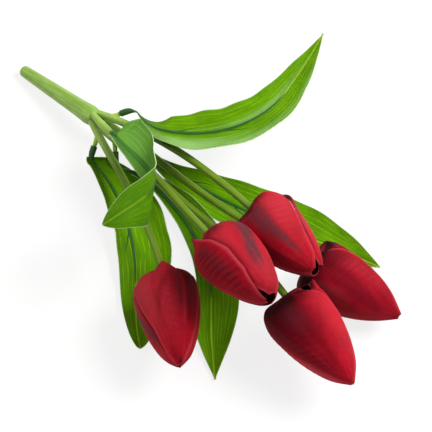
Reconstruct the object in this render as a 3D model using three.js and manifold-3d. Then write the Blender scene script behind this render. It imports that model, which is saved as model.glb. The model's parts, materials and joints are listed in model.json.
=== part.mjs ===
// Artificial tulip bouquet lying on a table: a moulded trunk, and five wired stems that bend at its crown.
// Each stem carries a leaf on a peg, and on its tip a flower head of six fabric petals that turns.
// Millimetres and degrees, +Z up, +X from the trunk's butt to the flowers, origin under the middle.
import * as THREE from 'three';
import { mergeVertices } from 'three/addons/utils/BufferGeometryUtils.js';
import Module from 'manifold-3d';

const wasm = await Module();
wasm.setup();

// Fits
const CLEARANCE = 0.3;

// Trunk
const TRUNK_LENGTH = 82;
const TRUNK_RISE = 11;
const BUTT_RADIUS = 4.4;
const BUTT_ROUND = 1.6;
const ROUND_SHARE = 0.3;
const WAIST_RADIUS = 5.5;
const WAIST_SHARE = 0.4;
const SHOULDER_DROP = 0.8;
const CROWN_RADIUS = 7.4;
const CROWN_DOME = 9;
const DOME_SHARES = [0.45, 0.7, 0.88];
const DOME_FULLNESS = 0.97;
const TRUNK_LOBES = 5;
const LOBE_DEPTH = 0.25;
const BUNDLE_RADIUS = 1.2;
const BUNDLE_LENGTH = 66;

// Stems
const STEM_LENGTH = 200;
const RING_RADIUS = 4.6;
const RING_START = 30;
const RING_ORDER = [3, 2, 1, 4, 5];
const ROOT_RADIUS = 2.1;
const BALL_SHARES = [-0.98, -0.7, 0, 0.6];
const NECK_RADIUS = 1.7;
const NECK_LENGTH = 4;
const FLARE_LENGTH = 6;
const STEM_RADIUS = 2.9;
const STEM_TIP_RADIUS = 2.5;
const WIRE_RADIUS = 0.8;
const WIRE_STOP = 8;
const NUB_RADIUS = 1.5;
const NUB_LENGTH = 8;
const NUB_TAPER = 0.9;

// Leaf pegs, sleeves, ribs and blades
const LEAF_LENGTH = 200;
const LEAF_WIDTH = 40;
const PEG_RADIUS = 1.3;
const PEG_LENGTH = 14;
const SLEEVE_GRIP = 5;
const SLEEVE_WALL = 0.8;
const SLEEVE_END = 2.5;
const SLEEVE_TAPER = 0.9;
const RIB_WIDTH = 2.2;
const RIB_CREST = 0.5;
const RIB_HEIGHT = 1;
const RIB_TAPER = 0.7;
const BLADE_THICKNESS = 0.6;
const BLADE_TIP_WIDTH = 1.4;
const BLADE_CROWDING = 1.4;
const SLOPE_SHARE = 0.005;
const LEAF_STATIONS = [0, 0.06, 0.2, 0.45, 0.7, 1];
const TRIM_STATIONS = [0, 0.1, 0.2, 0.3, 0.4, 0.5, 0.6, 0.7, 0.85, 1];
const UNTRIMMED = TRIM_STATIONS.map(() => 1);
const UNSWEPT = TRIM_STATIONS.map(() => 0);

// Flower heads
const BUD_LENGTH = 65;
const BUD_RADIUS = 22;
const BUD_PROFILE = [[0.5, 0], [0.82, 0.035], [0.97, 0.12], [1, 0.25], [0.92, 0.47],
  [0.72, 0.71], [0.44, 0.91], [0.2, 1]];
const PETAL_THICKNESS = 0.7;
const PETAL_STEP = 1.2;
const PETAL_SPREAD = 72;
const CLAW_SPREAD = 40;
const OPENING_START_SHARE = 0.05;
const OPENING_END_SHARE = 0.45;
const TIP_POWER = 5;
const TIP_SHARE = 0.9;
const WHORL_GAP = 4.4;
const INNER_SHARE = 0.9;
const FLAP_REACH = 3;
const FLAP_START_SHARE = 0.4;
const SEAT_RADIUS = 3;
const CLAW_HEIGHT = 2;
const BUTTON_RADIUS = 7;
const BUTTON_THICKNESS = 3.2;
const BUTTON_TAPER = 0.8;

// Faces on round pieces and sheets
const TRUNK_SIDES = 20;
const STEM_SIDES = 10;
const WIRE_SIDES = 6;
const CUP_SIDES = 12;
const CUP_STEPS = 8;
const PATH_STEPS = 64;
const STEM_STEPS = 8;
const BLADE_ACROSS = 6;
const BLADE_STEPS = 24;
const RIB_STEPS = 17;
const PETAL_ACROSS = 5;
const PETAL_ALONG = 8;

// One entry for each stem. Lengths and widths are shares of STEM_LENGTH, LEAF_LENGTH and LEAF_WIDTH, and peg
// is the share of STEM_LENGTH at which the leaf's peg leaves the stem. Headings are in plan from +X, pitches
// are above the table, and a leaf's rolls turn its glossy face about its midrib. Stem angles are at equal
// steps, leaf angles at LEAF_STATIONS. A leaf's lean moves its blade sideways off its midrib, as a share of the
// half width, and bud is the size of the flower head as a share of the bud's sizes. A leaf's right and left are
// the shares of the half width that its two halves keep at TRIM_STATIONS, and sweep is how far the right half is
// drawn back towards the sleeve there, as a share of the half width.
const SPRAYS = [
  {
    stem: { length: 0.734, heading: [-23, -21.5, -24.5, -38], pitch: [12, 7, 0, 6] },
    peg: 0.07,
    leaf: {
      length: 0.79, width: 0.985, widest: 0.4, base: 0.51, tip: 0.5, fold: 0.22, lean: 0.35,
      heading: [-70, -4, -19, -34, -49, -36],
      pitch: [-30, -8, -6, -4, -2, -2],
      roll: [0, -38, -28, -27, 1, 0],
    },
    bud: 1,
    turn: 97,
  },
  {
    stem: { length: 0.826, heading: [-16, -12, -14, -12.5], pitch: [22, 18.5, 15.5, 17] },
    peg: 0.14,
    leaf: {
      length: 0.645, width: 1.1, widest: 0.5, base: 0.34, tip: 0.72, fold: -0.45, lean: 0,
      heading: [-30, -10, -8, -26, -85, -102],
      pitch: [58, 7, 10, 35, 28, -1],
      roll: [-180, -212, -196, -128, -41, 4],
      right: [1, 1.3, 1, 0.58, 0.45, 0.4, 0.5, 0.6, 0.75, 1],
      left: [0.4, 0.4, 0.38, 0.35, 0.35, 0.45, 0.85, 1, 1, 1],
      sweep: [0.2, 0.5, 0.1, 0, 0, 0, 0, 0, 0, 0],
    },
    bud: 0.975,
    turn: 180,
  },
  {
    stem: { length: 0.783, heading: [9, 3, -3, -8.5], pitch: [18, 16, 10, 8] },
    peg: 0.055,
    leaf: {
      length: 0.99, width: 1.03, widest: 0.35, base: 1.5, tip: 1.03, fold: 0.22, lean: -0.06,
      heading: [46, -24, 20, 57, 99, 107],
      pitch: [28, 18, 12, 6, 1, -4],
      roll: [-70, -60, -20, -15, -8, 4],
      right: [0.4, 0.35, 0.85, 1, 1, 1, 1, 1, 1, 1],
    },
    bud: 0.965,
    turn: 136,
  },
  {
    stem: { length: 1.047, heading: [-3, -8.5, -2.5, -14], pitch: [8, 8, 14, -5] },
    peg: 0.11,
    leaf: {
      length: 0.98, width: 0.73, widest: 0.7, base: 1.37, tip: 1, fold: 0.22, lean: 0.33,
      heading: [-45, 25, -2, -21, -49, -42],
      pitch: [-20, -6, -5, -3, -1, -1],
      roll: [0, 0, 0, 0, 0, 0],
      left: [1, 1.1, 1.5, 1.4, 1.25, 1.1, 1, 1, 1, 1],
    },
    bud: 1.04,
    turn: 112,
  },
  {
    stem: { length: 0.976, heading: [4, -2, 3, 8.5], pitch: [1, 5.5, 6, -6.5] },
    peg: 0.11,
    leaf: {
      length: 1.005, width: 1.015, widest: 0.63, base: 1.23, tip: 0.89, fold: 0.22, lean: 0.08,
      heading: [20, -6, 11, 13, 19, 16],
      pitch: [-35, -3, -2, -1, -1, -1],
      roll: [0, 0, 0, 0, 0, 0],
      right: [1.3, 1.3, 1.3, 1.3, 1.2, 1.1, 1, 1, 1, 1],
    },
    bud: 1.02,
    turn: 141,
  },
];

const TRUNK_GREEN = new THREE.MeshStandardMaterial({ color: '#a4c46f', roughness: 0.5 });
const STEM_GREEN = new THREE.MeshStandardMaterial({ color: '#6f9440', roughness: 0.5 });
const STEEL = new THREE.MeshStandardMaterial({ color: '#8c8f92', roughness: 0.4, metalness: 1 });
const RIB_GREEN = new THREE.MeshStandardMaterial({ color: '#2c6a34', roughness: 0.5 });
const LEAF_GREEN = new THREE.MeshStandardMaterial({ color: '#4f9a12', roughness: 0.5 });
const PETAL_RED = new THREE.MeshStandardMaterial({ color: '#a81a2a', roughness: 0.8 });
const SEAT_GREEN = new THREE.MeshStandardMaterial({ color: '#86a94c', roughness: 0.6 });

// A geometry as a solid that can be joined and cut, and back again
function solid(geometry) {
  const bare = geometry.clone();
  bare.deleteAttribute('normal');
  bare.deleteAttribute('uv');
  const merged = mergeVertices(bare, 1e-4);
  const vertProperties = merged.attributes.position.array;
  const triVerts = new Uint32Array(merged.index.array);
  return new wasm.Manifold(new wasm.Mesh({ numProp: 3, vertProperties, triVerts }));
}

function geometryOf(manifold) {
  const { vertProperties, triVerts } = manifold.getMesh();
  const geometry = new THREE.BufferGeometry();
  geometry.setAttribute('position', new THREE.BufferAttribute(vertProperties, 3));
  geometry.setIndex(new THREE.BufferAttribute(triVerts, 1));
  geometry.computeVertexNormals();
  return geometry;
}

const cut = (part, ...tools) => geometryOf(tools.map(solid).reduce((a, b) => a.subtract(b), solid(part)));

// A closed geometry whose every vertex is moved by a rule
function reshape(geometry, place) {
  const position = geometry.attributes.position;
  for (let i = 0; i < position.count; i += 1) {
    const p = place(position.getX(i), position.getY(i), position.getZ(i));
    position.setXYZ(i, p.x, p.y, p.z);
  }
  geometry.computeVertexNormals();
  return geometry;
}

// A box of unit depth whose two broad faces are cut into triangles alike, so that a thin sheet may twist
function sheetBox(width, height, across, along) {
  const box = new THREE.BoxGeometry(width, height, 1, across, along, 1);
  const back = box.groups[5];
  for (let i = back.start; i < back.start + back.count; i += 6) {
    const [a, b, d, , c] = box.index.array.slice(i, i + 6);
    box.index.array.set([a, b, c, a, c, d], i);
  }
  return box;
}

// Value at share t of a list of values at given stations
function blend(values, stations, t) {
  const last = stations.length - 2;
  const next = stations.findIndex((station) => station > t);
  const i = next < 0 ? last : Math.max(0, next - 1);
  const share = (t - stations[i]) / (stations[i + 1] - stations[i]);
  return THREE.MathUtils.lerp(values[i], values[i + 1], THREE.MathUtils.clamp(share, 0, 1));
}

// Tangent, side and normal for a heading, pitch and roll
function frameOf(heading, pitch, roll) {
  const [h, p, r] = [heading, pitch, roll].map(THREE.MathUtils.degToRad);
  const tangent = new THREE.Vector3(Math.cos(p) * Math.cos(h), Math.cos(p) * Math.sin(h), Math.sin(p));
  const level = new THREE.Vector3(-Math.sin(h), Math.cos(h), 0);
  const above = new THREE.Vector3().crossVectors(tangent, level);
  const side = level.clone().multiplyScalar(Math.cos(r)).addScaledVector(above, Math.sin(r));
  const normal = above.clone().multiplyScalar(Math.cos(r)).addScaledVector(level, -Math.sin(r));
  return { tangent, side, normal };
}

// A path of a given length whose direction follows the listed angles: at(d) is its place and frame
function path(length, angles, stations) {
  const { heading, pitch } = angles;
  const roll = angles.roll ?? heading.map(() => 0);
  const frameAt = (t) => frameOf(...[heading, pitch, roll].map((values) => blend(values, stations, t)));
  const places = [new THREE.Vector3()];
  for (let i = 0; i < PATH_STEPS; i += 1) {
    const { tangent } = frameAt((i + 0.5) / PATH_STEPS);
    places.push(places[i].clone().addScaledVector(tangent, length / PATH_STEPS));
  }
  const at = (d) => {
    const t = THREE.MathUtils.clamp(d / length, 0, 1);
    const i = Math.min(PATH_STEPS - 1, Math.floor(t * PATH_STEPS));
    const frame = frameAt(t);
    const place = places[i].clone().lerp(places[i + 1], t * PATH_STEPS - i);
    return { place: place.addScaledVector(frame.tangent, d - t * length), ...frame };
  };
  return { length, at };
}

const equalSteps = (list) => list.map((_, i) => i / (list.length - 1));

// A round solid along a path: rings are [distance, radius], and its radius may ripple around
function rod(along, rings, sides, ripple = () => 0) {
  const last = rings.length - 1;
  return reshape(new THREE.CylinderGeometry(1, 1, last, sides, last), (x, y, z) => {
    const [distance, radius] = rings[Math.round(last / 2 - y)];
    const { place, side, normal } = along.at(distance);
    const reach = radius + (Math.hypot(x, z) > 0.5 ? ripple(Math.atan2(z, x), radius) : 0);
    return place.addScaledVector(side, x * reach).addScaledVector(normal, z * reach);
  });
}

// A straight line up from the origin
const straight = { at: (d) => ({ place: new THREE.Vector3(0, 0, d), ...frameOf(0, 90, 0) }) };

// Trunk, along +X with its crown at the origin
function trunkGeometry(roots) {
  const bar = path(TRUNK_LENGTH, { heading: [0, 0], pitch: [0, 0] }, [0, 1]);
  const domeStart = TRUNK_LENGTH - CROWN_DOME;
  const domeRings = DOME_SHARES.map((share) => {
    const radius = CROWN_RADIUS * Math.sqrt(1 - (share * DOME_FULLNESS) ** 2);
    return [domeStart + CROWN_DOME * share, radius];
  });
  const step = BUTT_ROUND * ROUND_SHARE;
  const rings = [
    [0, BUTT_RADIUS - BUTT_ROUND],
    [step, BUTT_RADIUS - step],
    [BUTT_ROUND, BUTT_RADIUS],
    [TRUNK_LENGTH * WAIST_SHARE, WAIST_RADIUS],
    [domeStart - CROWN_DOME, CROWN_RADIUS - SHOULDER_DROP],
    [domeStart, CROWN_RADIUS],
    ...domeRings,
    [TRUNK_LENGTH, BUNDLE_RADIUS + 2 * CLEARANCE],
  ];
  const lobes = (angle, radius) => (radius / CROWN_RADIUS) * LOBE_DEPTH * Math.cos(TRUNK_LOBES * angle);
  const body = rod(bar, rings, TRUNK_SIDES, lobes).translate(-TRUNK_LENGTH, 0, 0);
  const bundleBore = rod(bar, [[TRUNK_LENGTH - BUNDLE_LENGTH, BUNDLE_RADIUS + CLEARANCE],
    [TRUNK_LENGTH + CLEARANCE, BUNDLE_RADIUS + CLEARANCE]], WIRE_SIDES).translate(-TRUNK_LENGTH, 0, 0);
  const cup = new THREE.SphereGeometry(ROOT_RADIUS + CLEARANCE, CUP_SIDES, CUP_STEPS);
  return cut(body, bundleBore, ...roots.map((root) => cup.clone().translate(...root)));
}

// Where the stem roots sit on the crown's dome
const rootDepth = CROWN_DOME * (1 - Math.sqrt(1 - (RING_RADIUS / CROWN_RADIUS) ** 2));
const rootPlaces = SPRAYS.map((_, i) => {
  const order = RING_ORDER.indexOf(i + 1);
  const angle = THREE.MathUtils.degToRad(RING_START + (order * 360) / SPRAYS.length);
  return [-rootDepth, RING_RADIUS * Math.cos(angle), RING_RADIUS * Math.sin(angle)];
});

// Stem with its root ball, leaf peg, tip nub and wire bore
function stemGeometry(line, pegLine, pegAt) {
  const ball = BALL_SHARES.map((share) => [share * ROOT_RADIUS, ROOT_RADIUS * Math.sqrt(1 - share ** 2)]);
  const flareEnd = NECK_LENGTH + FLARE_LENGTH;
  const shaft = Array.from({ length: STEM_STEPS + 1 }, (_, i) => {
    const share = i / STEM_STEPS;
    const radius = THREE.MathUtils.lerp(STEM_RADIUS, STEM_TIP_RADIUS, share);
    return [THREE.MathUtils.lerp(flareEnd, line.length, share), radius];
  });
  const nub = [[line.length, NUB_RADIUS], [line.length + NUB_LENGTH, NUB_RADIUS * NUB_TAPER]];
  const outside = rod(line, [...ball, [NECK_LENGTH, NECK_RADIUS], ...shaft, ...nub], STEM_SIDES);
  const start = line.at(pegAt).place;
  const peg = rod(pegLine, [[0, PEG_RADIUS], [PEG_LENGTH, PEG_RADIUS]], STEM_SIDES).translate(...start);
  const bore = rod(line, boreRings(line, WIRE_RADIUS + CLEARANCE, -2 * ROOT_RADIUS, 0), WIRE_SIDES);
  return geometryOf(solid(outside).add(solid(peg)).subtract(solid(bore)));
}

// Rings of the wire, or of its bore, from the root to short of the tip
function boreRings(line, radius, from, short) {
  const end = line.length - WIRE_STOP - short;
  const ring = (_, i) => [THREE.MathUtils.lerp(from, end, i / STEM_STEPS), radius];
  return Array.from({ length: STEM_STEPS + 1 }, ring);
}

// Half width of a blade d along its leaf
function bladeReach(leaf, d) {
  const t = d / leaf.length;
  const swell = t < leaf.widest
    ? Math.sin((Math.PI / 2) * (t / leaf.widest)) ** leaf.base
    : Math.cos((Math.PI / 2) * ((t - leaf.widest) / (1 - leaf.widest))) ** leaf.tip;
  return Math.max(BLADE_TIP_WIDTH / 2, (leaf.width / 2) * swell);
}

// Distance along a leaf to a step of its blade: the steps are short near the sleeve, where it bends most
function bladeStep(leaf, step) {
  const share = (Math.max(0, step) / BLADE_STEPS) ** BLADE_CROWDING;
  return THREE.MathUtils.lerp(SLEEVE_END + 2 * CLEARANCE, leaf.length, share);
}

// Middle of a blade's thickness: d along its leaf, and x of the half width given as its reach
function bladePoint(leaf, line, x, d, reach) {
  const { right = UNTRIMMED, left = UNTRIMMED, sweep = UNSWEPT } = leaf;
  const share = d / leaf.length;
  const back = Math.max(0, -x) * reach * blend(sweep, TRIM_STATIONS, share);
  const { place, side, normal } = line.at(d - back);
  const off = x * blend(x < 0 ? right : left, TRIM_STATIONS, share) + leaf.lean;
  return place.addScaledVector(side, off * reach).addScaledVector(normal, leaf.fold * reach * off ** 2);
}

// Thin blade, folded along its midrib, with its thickness square to its own surface
function bladeGeometry(leaf, line) {
  return reshape(sheetBox(2, BLADE_STEPS, BLADE_ACROSS, BLADE_STEPS), (x, y, z) => {
    const d = bladeStep(leaf, Math.round(y + BLADE_STEPS / 2));
    const reach = bladeReach(leaf, d);
    const near = (across, along) => bladePoint(leaf, line, x + across, d + along, reach);
    const step = SLOPE_SHARE * leaf.length;
    const along = near(0, step).sub(near(0, -step));
    const across = near(SLOPE_SHARE, 0).sub(near(-SLOPE_SHARE, 0));
    const upward = along.cross(across).normalize();
    return near(0, 0).addScaledVector(upward, -z * BLADE_THICKNESS);
  });
}

// Sleeve that grips the peg, with the midrib that runs on from it over the blade's glossy face
function ribGeometry(leaf, line) {
  const outer = PEG_RADIUS + CLEARANCE + SLEEVE_WALL;
  const inner = PEG_RADIUS + CLEARANCE;
  const sleeve = rod(line, [[-SLEEVE_GRIP, outer], [SLEEVE_END, outer * SLEEVE_TAPER]], STEM_SIDES);
  const bore = rod(line, [[-SLEEVE_GRIP - CLEARANCE, inner], [CLEARANCE, inner]], STEM_SIDES);
  const rise = BLADE_THICKNESS / 2 + CLEARANCE;
  const rib = reshape(new THREE.BoxGeometry(1, RIB_STEPS, 1, 1, RIB_STEPS, 1), (x, y, z) => {
    const step = Math.round(y + RIB_STEPS / 2) - 1;
    const d = step < 0 ? SLEEVE_END / 2 : bladeStep(leaf, step);
    const { place, side, normal } = line.at(d);
    const taper = 1 - RIB_TAPER * (Math.max(0, step) / RIB_STEPS);
    const crest = z < 0 ? RIB_CREST : 1;
    const height = rise + (z < 0 ? RIB_HEIGHT * taper : 0);
    return place.addScaledVector(side, x * RIB_WIDTH * taper * crest).addScaledVector(normal, height);
  });
  return geometryOf(solid(sleeve).add(solid(rib)).subtract(solid(bore)));
}

// Outline of a bud of a given size share, from the claws of its petals to their tips
const budCurve = (size) => new THREE.SplineCurve([
  new THREE.Vector2(SEAT_RADIUS + 2 * CLEARANCE, CLAW_HEIGHT),
  ...BUD_PROFILE.map(([radius, height]) => {
    return new THREE.Vector2(radius * BUD_RADIUS * size, height * BUD_LENGTH * size);
  }),
]);

// [radius, height] of the bud's outline at share s, moved outward by an offset
function budPoint(curve, s, offset) {
  const place = curve.getPoint(s);
  const slope = curve.getTangent(s);
  return [place.x + slope.y * offset, place.y - slope.x * offset];
}

// A petal about +Z, its middle at +X: outward is its offset from the bud's outline, share its length,
// and flap is 1 where the corner of its shoulder stands out
function petalGeometry(curve, outward, share, flap) {
  return reshape(sheetBox(2, 1, PETAL_ACROSS, PETAL_ALONG), (x, y, z) => {
    const s = (y + 0.5) * share;
    const narrowing = Math.sqrt(1 - TIP_SHARE * (y + 0.5) ** TIP_POWER);
    const opening = THREE.MathUtils.smoothstep(s, OPENING_START_SHARE, OPENING_END_SHARE);
    const spread = THREE.MathUtils.lerp(CLAW_SPREAD, PETAL_SPREAD, opening) * narrowing;
    const shoulder = Math.sin(Math.PI * Math.min(1, s / OPENING_END_SHARE));
    const corner = flap * FLAP_REACH * shoulder * Math.max(0, -x - FLAP_START_SHARE) ** 2;
    const offset = outward - x * PETAL_STEP * opening + z * PETAL_THICKNESS + corner;
    const [radius, height] = budPoint(curve, s, offset);
    const angle = THREE.MathUtils.degToRad(x * spread);
    return new THREE.Vector3(radius * Math.cos(angle), radius * Math.sin(angle), height - corner);
  });
}

// Seat: a post that grips the stem's nub, and a button over the claws of the inner petals
function seatGeometry(curve) {
  const button = budPoint(curve, 0, -WHORL_GAP - PETAL_THICKNESS / 2)[1] + CLEARANCE;
  const outside = rod(straight, [[CLEARANCE, SEAT_RADIUS], [button, SEAT_RADIUS], [button, BUTTON_RADIUS],
    [button + BUTTON_THICKNESS, BUTTON_RADIUS * BUTTON_TAPER]], STEM_SIDES);
  const grip = NUB_RADIUS + CLEARANCE;
  return cut(outside, rod(straight, [[0, grip], [NUB_LENGTH + CLEARANCE, grip]], STEM_SIDES));
}

function piece(name, geometry, material) {
  const mesh = new THREE.Mesh(geometry, material.clone());
  mesh.name = name;
  return mesh;
}

// A flower head about +Z, with its seat at the stem's tip
function flowerHead(number, size) {
  const head = new THREE.Group();
  const curve = budCurve(size);
  head.add(piece(`flower_seat_${number}`, seatGeometry(curve), SEAT_GREEN));
  const whorls = [
    { name: 'outer_petal', outward: 0, share: 1, start: 0, flap: 1 },
    { name: 'inner_petal', outward: -WHORL_GAP, share: INNER_SHARE, start: 60, flap: 0 },
  ];
  for (const { name, outward, share, start, flap } of whorls) {
    ['a', 'b', 'c'].forEach((letter, i) => {
      const petal = piece(`${name}_${number}${letter}`, petalGeometry(curve, outward, share, flap), PETAL_RED);
      petal.rotation.z = THREE.MathUtils.degToRad(start + 120 * i);
      head.add(petal);
    });
  }
  return head;
}

// One stem with its wire, leaf and flower head, its root ball at the group's origin
function spray({ stem, peg, leaf: shape, bud, turn }, number) {
  const group = new THREE.Group();
  const line = path(stem.length * STEM_LENGTH, stem, equalSteps(stem.heading));
  const leaf = { ...shape, length: shape.length * LEAF_LENGTH, width: shape.width * LEAF_WIDTH };
  const pegAt = peg * STEM_LENGTH;
  const pegFrame = frameOf(leaf.heading[0], leaf.pitch[0], 0);
  const pegPlace = (d) => pegFrame.tangent.clone().multiplyScalar(d);
  const pegLine = { at: (d) => ({ place: pegPlace(d), ...pegFrame }) };
  group.add(piece(`stem_${number}`, stemGeometry(line, pegLine, pegAt), STEM_GREEN));
  const wire = rod(line, boreRings(line, WIRE_RADIUS, 0, CLEARANCE), WIRE_SIDES);
  group.add(piece(`stem_wire_${number}`, wire, STEEL));

  const leafGroup = new THREE.Group();
  leafGroup.position.copy(line.at(pegAt).place).addScaledVector(pegFrame.tangent, PEG_LENGTH);
  const leafLine = path(leaf.length, leaf, LEAF_STATIONS);
  leafGroup.add(piece(`leaf_rib_${number}`, ribGeometry(leaf, leafLine), RIB_GREEN));
  leafGroup.add(piece(`leaf_blade_${number}`, bladeGeometry(leaf, leafLine), LEAF_GREEN));
  group.add(leafGroup);

  const tip = line.at(line.length);
  const head = flowerHead(number, bud);
  head.position.copy(tip.place);
  const basis = new THREE.Matrix4().makeBasis(tip.side, tip.normal, tip.tangent);
  head.quaternion.setFromRotationMatrix(basis).multiply(
    new THREE.Quaternion().setFromAxisAngle(new THREE.Vector3(0, 0, 1), THREE.MathUtils.degToRad(turn)),
  );
  group.add(head);
  return group;
}

const bouquet = new THREE.Group();
const lying = new THREE.Group();
bouquet.add(lying);

const trunkGroup = new THREE.Group();
trunkGroup.rotation.y = -THREE.MathUtils.degToRad(TRUNK_RISE);
trunkGroup.add(piece('trunk', trunkGeometry(rootPlaces), TRUNK_GREEN));
const bundle = rod(straight, [[CLEARANCE - BUNDLE_LENGTH, BUNDLE_RADIUS], [0, BUNDLE_RADIUS]], WIRE_SIDES);
trunkGroup.add(piece('trunk_wires', bundle.rotateY(Math.PI / 2), STEEL));
lying.add(trunkGroup);
trunkGroup.updateMatrixWorld(true);

SPRAYS.forEach((entry, i) => {
  const group = spray(entry, i + 1);
  group.position.copy(new THREE.Vector3(...rootPlaces[i]).applyMatrix4(trunkGroup.matrixWorld));
  lying.add(group);
});

// The origin is on the table, under the middle of the bouquet's box
const box = new THREE.Box3().setFromObject(lying, true);
const middle = box.getCenter(new THREE.Vector3());
lying.position.set(-middle.x, -middle.y, -box.min.z);

export default bouquet;
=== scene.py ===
"""Looks of an artificial tulip bouquet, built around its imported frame.

The trunk, stems, leaves and flower heads are rebuilt finely in the places of their solids. Metres, +Z up.
"""
import itertools
import json
import math

import bpy
import numpy as np
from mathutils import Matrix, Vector


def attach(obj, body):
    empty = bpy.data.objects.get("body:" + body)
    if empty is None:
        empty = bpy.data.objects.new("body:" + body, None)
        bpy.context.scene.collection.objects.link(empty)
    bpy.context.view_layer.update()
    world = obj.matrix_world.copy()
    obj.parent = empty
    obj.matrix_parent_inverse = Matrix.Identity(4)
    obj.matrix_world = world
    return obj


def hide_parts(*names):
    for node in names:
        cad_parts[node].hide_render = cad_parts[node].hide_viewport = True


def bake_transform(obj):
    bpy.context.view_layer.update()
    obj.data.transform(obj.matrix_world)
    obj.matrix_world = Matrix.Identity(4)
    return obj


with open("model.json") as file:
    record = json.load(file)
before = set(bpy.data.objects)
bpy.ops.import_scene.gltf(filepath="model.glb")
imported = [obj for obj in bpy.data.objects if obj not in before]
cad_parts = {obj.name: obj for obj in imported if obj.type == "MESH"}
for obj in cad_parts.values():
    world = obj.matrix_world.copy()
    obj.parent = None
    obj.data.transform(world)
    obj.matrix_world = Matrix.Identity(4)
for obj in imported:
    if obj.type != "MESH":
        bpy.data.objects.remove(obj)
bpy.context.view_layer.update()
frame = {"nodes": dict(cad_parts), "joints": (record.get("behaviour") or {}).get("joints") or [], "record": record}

bl_info = {
    "name": "Artificial Tulip Bouquet",
    "version": (1, 0, 0),
    "blender": (4, 5, 0),
    "location": "View3D > Sidebar > Bouquet",
    "description": "Builds the trunk, stems, leaves, flower heads and stage of an artificial tulip bouquet",
    "category": "Add Mesh",
}

MM = 0.001
JOINTS = {joint["name"]: joint for joint in frame["joints"]}
LETTERS = "abc"
SHARP_EDGE = math.radians(50)  # sharper bends aren't shaded smooth

# Stage, in metres and watts
FLOOR_HALF = 4.0
FLOOR_DROP = 0.2 * MM
FLOOR_WHITE = 0.8  # how white the camera sees the floor near the bouquet
FLOOR_FADE = (0.3, 0.8)  # distances between which it turns all white
ROOM_LIGHT = 0.36
LAMPS = {  # place, size and power
    "key_light": ((0.65, 0.75, 1.2), 0.7, 31),
    "fill_light": ((-0.9, -0.5, 0.9), 1.1, 5),
}

# Camera, in millimetres and degrees
LOOK_AT = (26.67, -24.75, 30.16)
LENS = 119.2
SENSOR = 36
AZIMUTH = 42
ELEVATION = 62
CAMERA_DISTANCE = 1.0  # metres
CAMERA_CLIP = (0.05, 20)  # metres

# Trunk, in millimetres
TRUNK_OUTLINE = (  # distances from the butt, and radii
    (0, 2.6), (0.35, 3.7), (1.6, 4.4), (14, 4.8), (33, 5.5), (52, 6.1),
    (64, 6.6), (73, 7.3), (77, 6.9), (79.3, 5.6), (81, 3.6), (81.9, 1.4),
)
TRUNK_RINGS = ((0, 1.6, 6), (3, 72, 36), (73, 81.9, 14))  # runs of rings: start, end and count
TRUNK_SIDES = 60
FLUTES = ((5, 0, 0.2), (15, 0.6, 0.1))  # count, turn in radians and depth
FLUTE_START = 6  # distance from the butt over which the flutes grow
FLUTE_RADIUS = 7.4  # radius of the trunk at which they have their depth

# Stems and pegs, in millimetres
STEM_TAIL = 3.5  # how far a stem runs back into the crown
ROOT_RUN = 14  # where it has its full radius
ROOT_FADE = 60  # where its root's colour ends
BEND_RUN = (-1, 8)  # where its bend starts and ends
STEM_RINGS = 40
STEM_SIDES = 20
NUB = ((0.3, 2.0), (0.5, 1.5), (7, 1.4), (7.8, 1.0))  # distances past the stem's tip, and radii
PEG_FOOT = ((0, 1.15), (2.6, 1), (5, 0.85), (8.2, 0.82))  # distances, and shares of the foot's radius
PEG_END = ((8.6, 1), (13.6, 1), (14, 0.7))  # distances, and shares of the peg's radius

# Leaf ribs, in millimetres
SLEEVE_PLAY = 0.3  # between the sleeve's bore and its peg
SLEEVE_RUN = 5  # how far the sleeve runs down its peg
SLEEVE_END = (0.3, 0.2)  # distance and radius at the bore's end
SLEEVE_OUTSIDE = ((-SLEEVE_RUN, 0.94), (-4.6, 1), (0, 1), (2.5, 0.88), (5, 0.6))  # shares of its radius
SLEEVE_TIP = (8, 0.5)  # distance and radius
SLEEVE_SIDES = 24
RIB_SINK = 0.05  # how far a rib is sunk in the blade's face
RIB_START = 2
RIB_TAPER = ((0, 0.15, 0.26, 0.5, 0.7), (0.9, 0.8, 1.1, 0.9, 0.3))  # shares of the leaf, and of the rib
RIB_LAST = (0.85, 0.65, 0.4, 0.15)  # shares that the last rings keep of that
RIB_RINGS = 80
RIB_SIDES = 10
SIDE_VEINS = ((0.24, 1), (0.43, -1))  # where they start, as a share of the leaf, and on which hand
VEIN_RINGS = 14
VEIN_TAPER = (0.75, 0.12)
VEIN_RUN = 17
VEIN_SPREAD = 6.5
VEIN_WIDTH = 1.7
VEIN_HEIGHT = 0.7

# Leaf blades, in millimetres
BLADE_START = 3.1
BLADE_LEAST = 0.7  # least half width
BLADE_GRID = (150, 49)  # rows and columns
WAVE_RUN = 31  # length of one wave of the margin
WAVE_GROWTH = (10, 50)  # where the waves start, and where they are full
WAVE_REACH = 8  # half width from which they are full

# Lines that the stems and leaves follow: headings in plan from +X, pitches above the table, rolls of a
# leaf's glossy face about its midrib, all in degrees. Stem angles are at equal steps.
LEAF_STATIONS = (0, 0.06, 0.2, 0.45, 0.7, 1)
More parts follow.
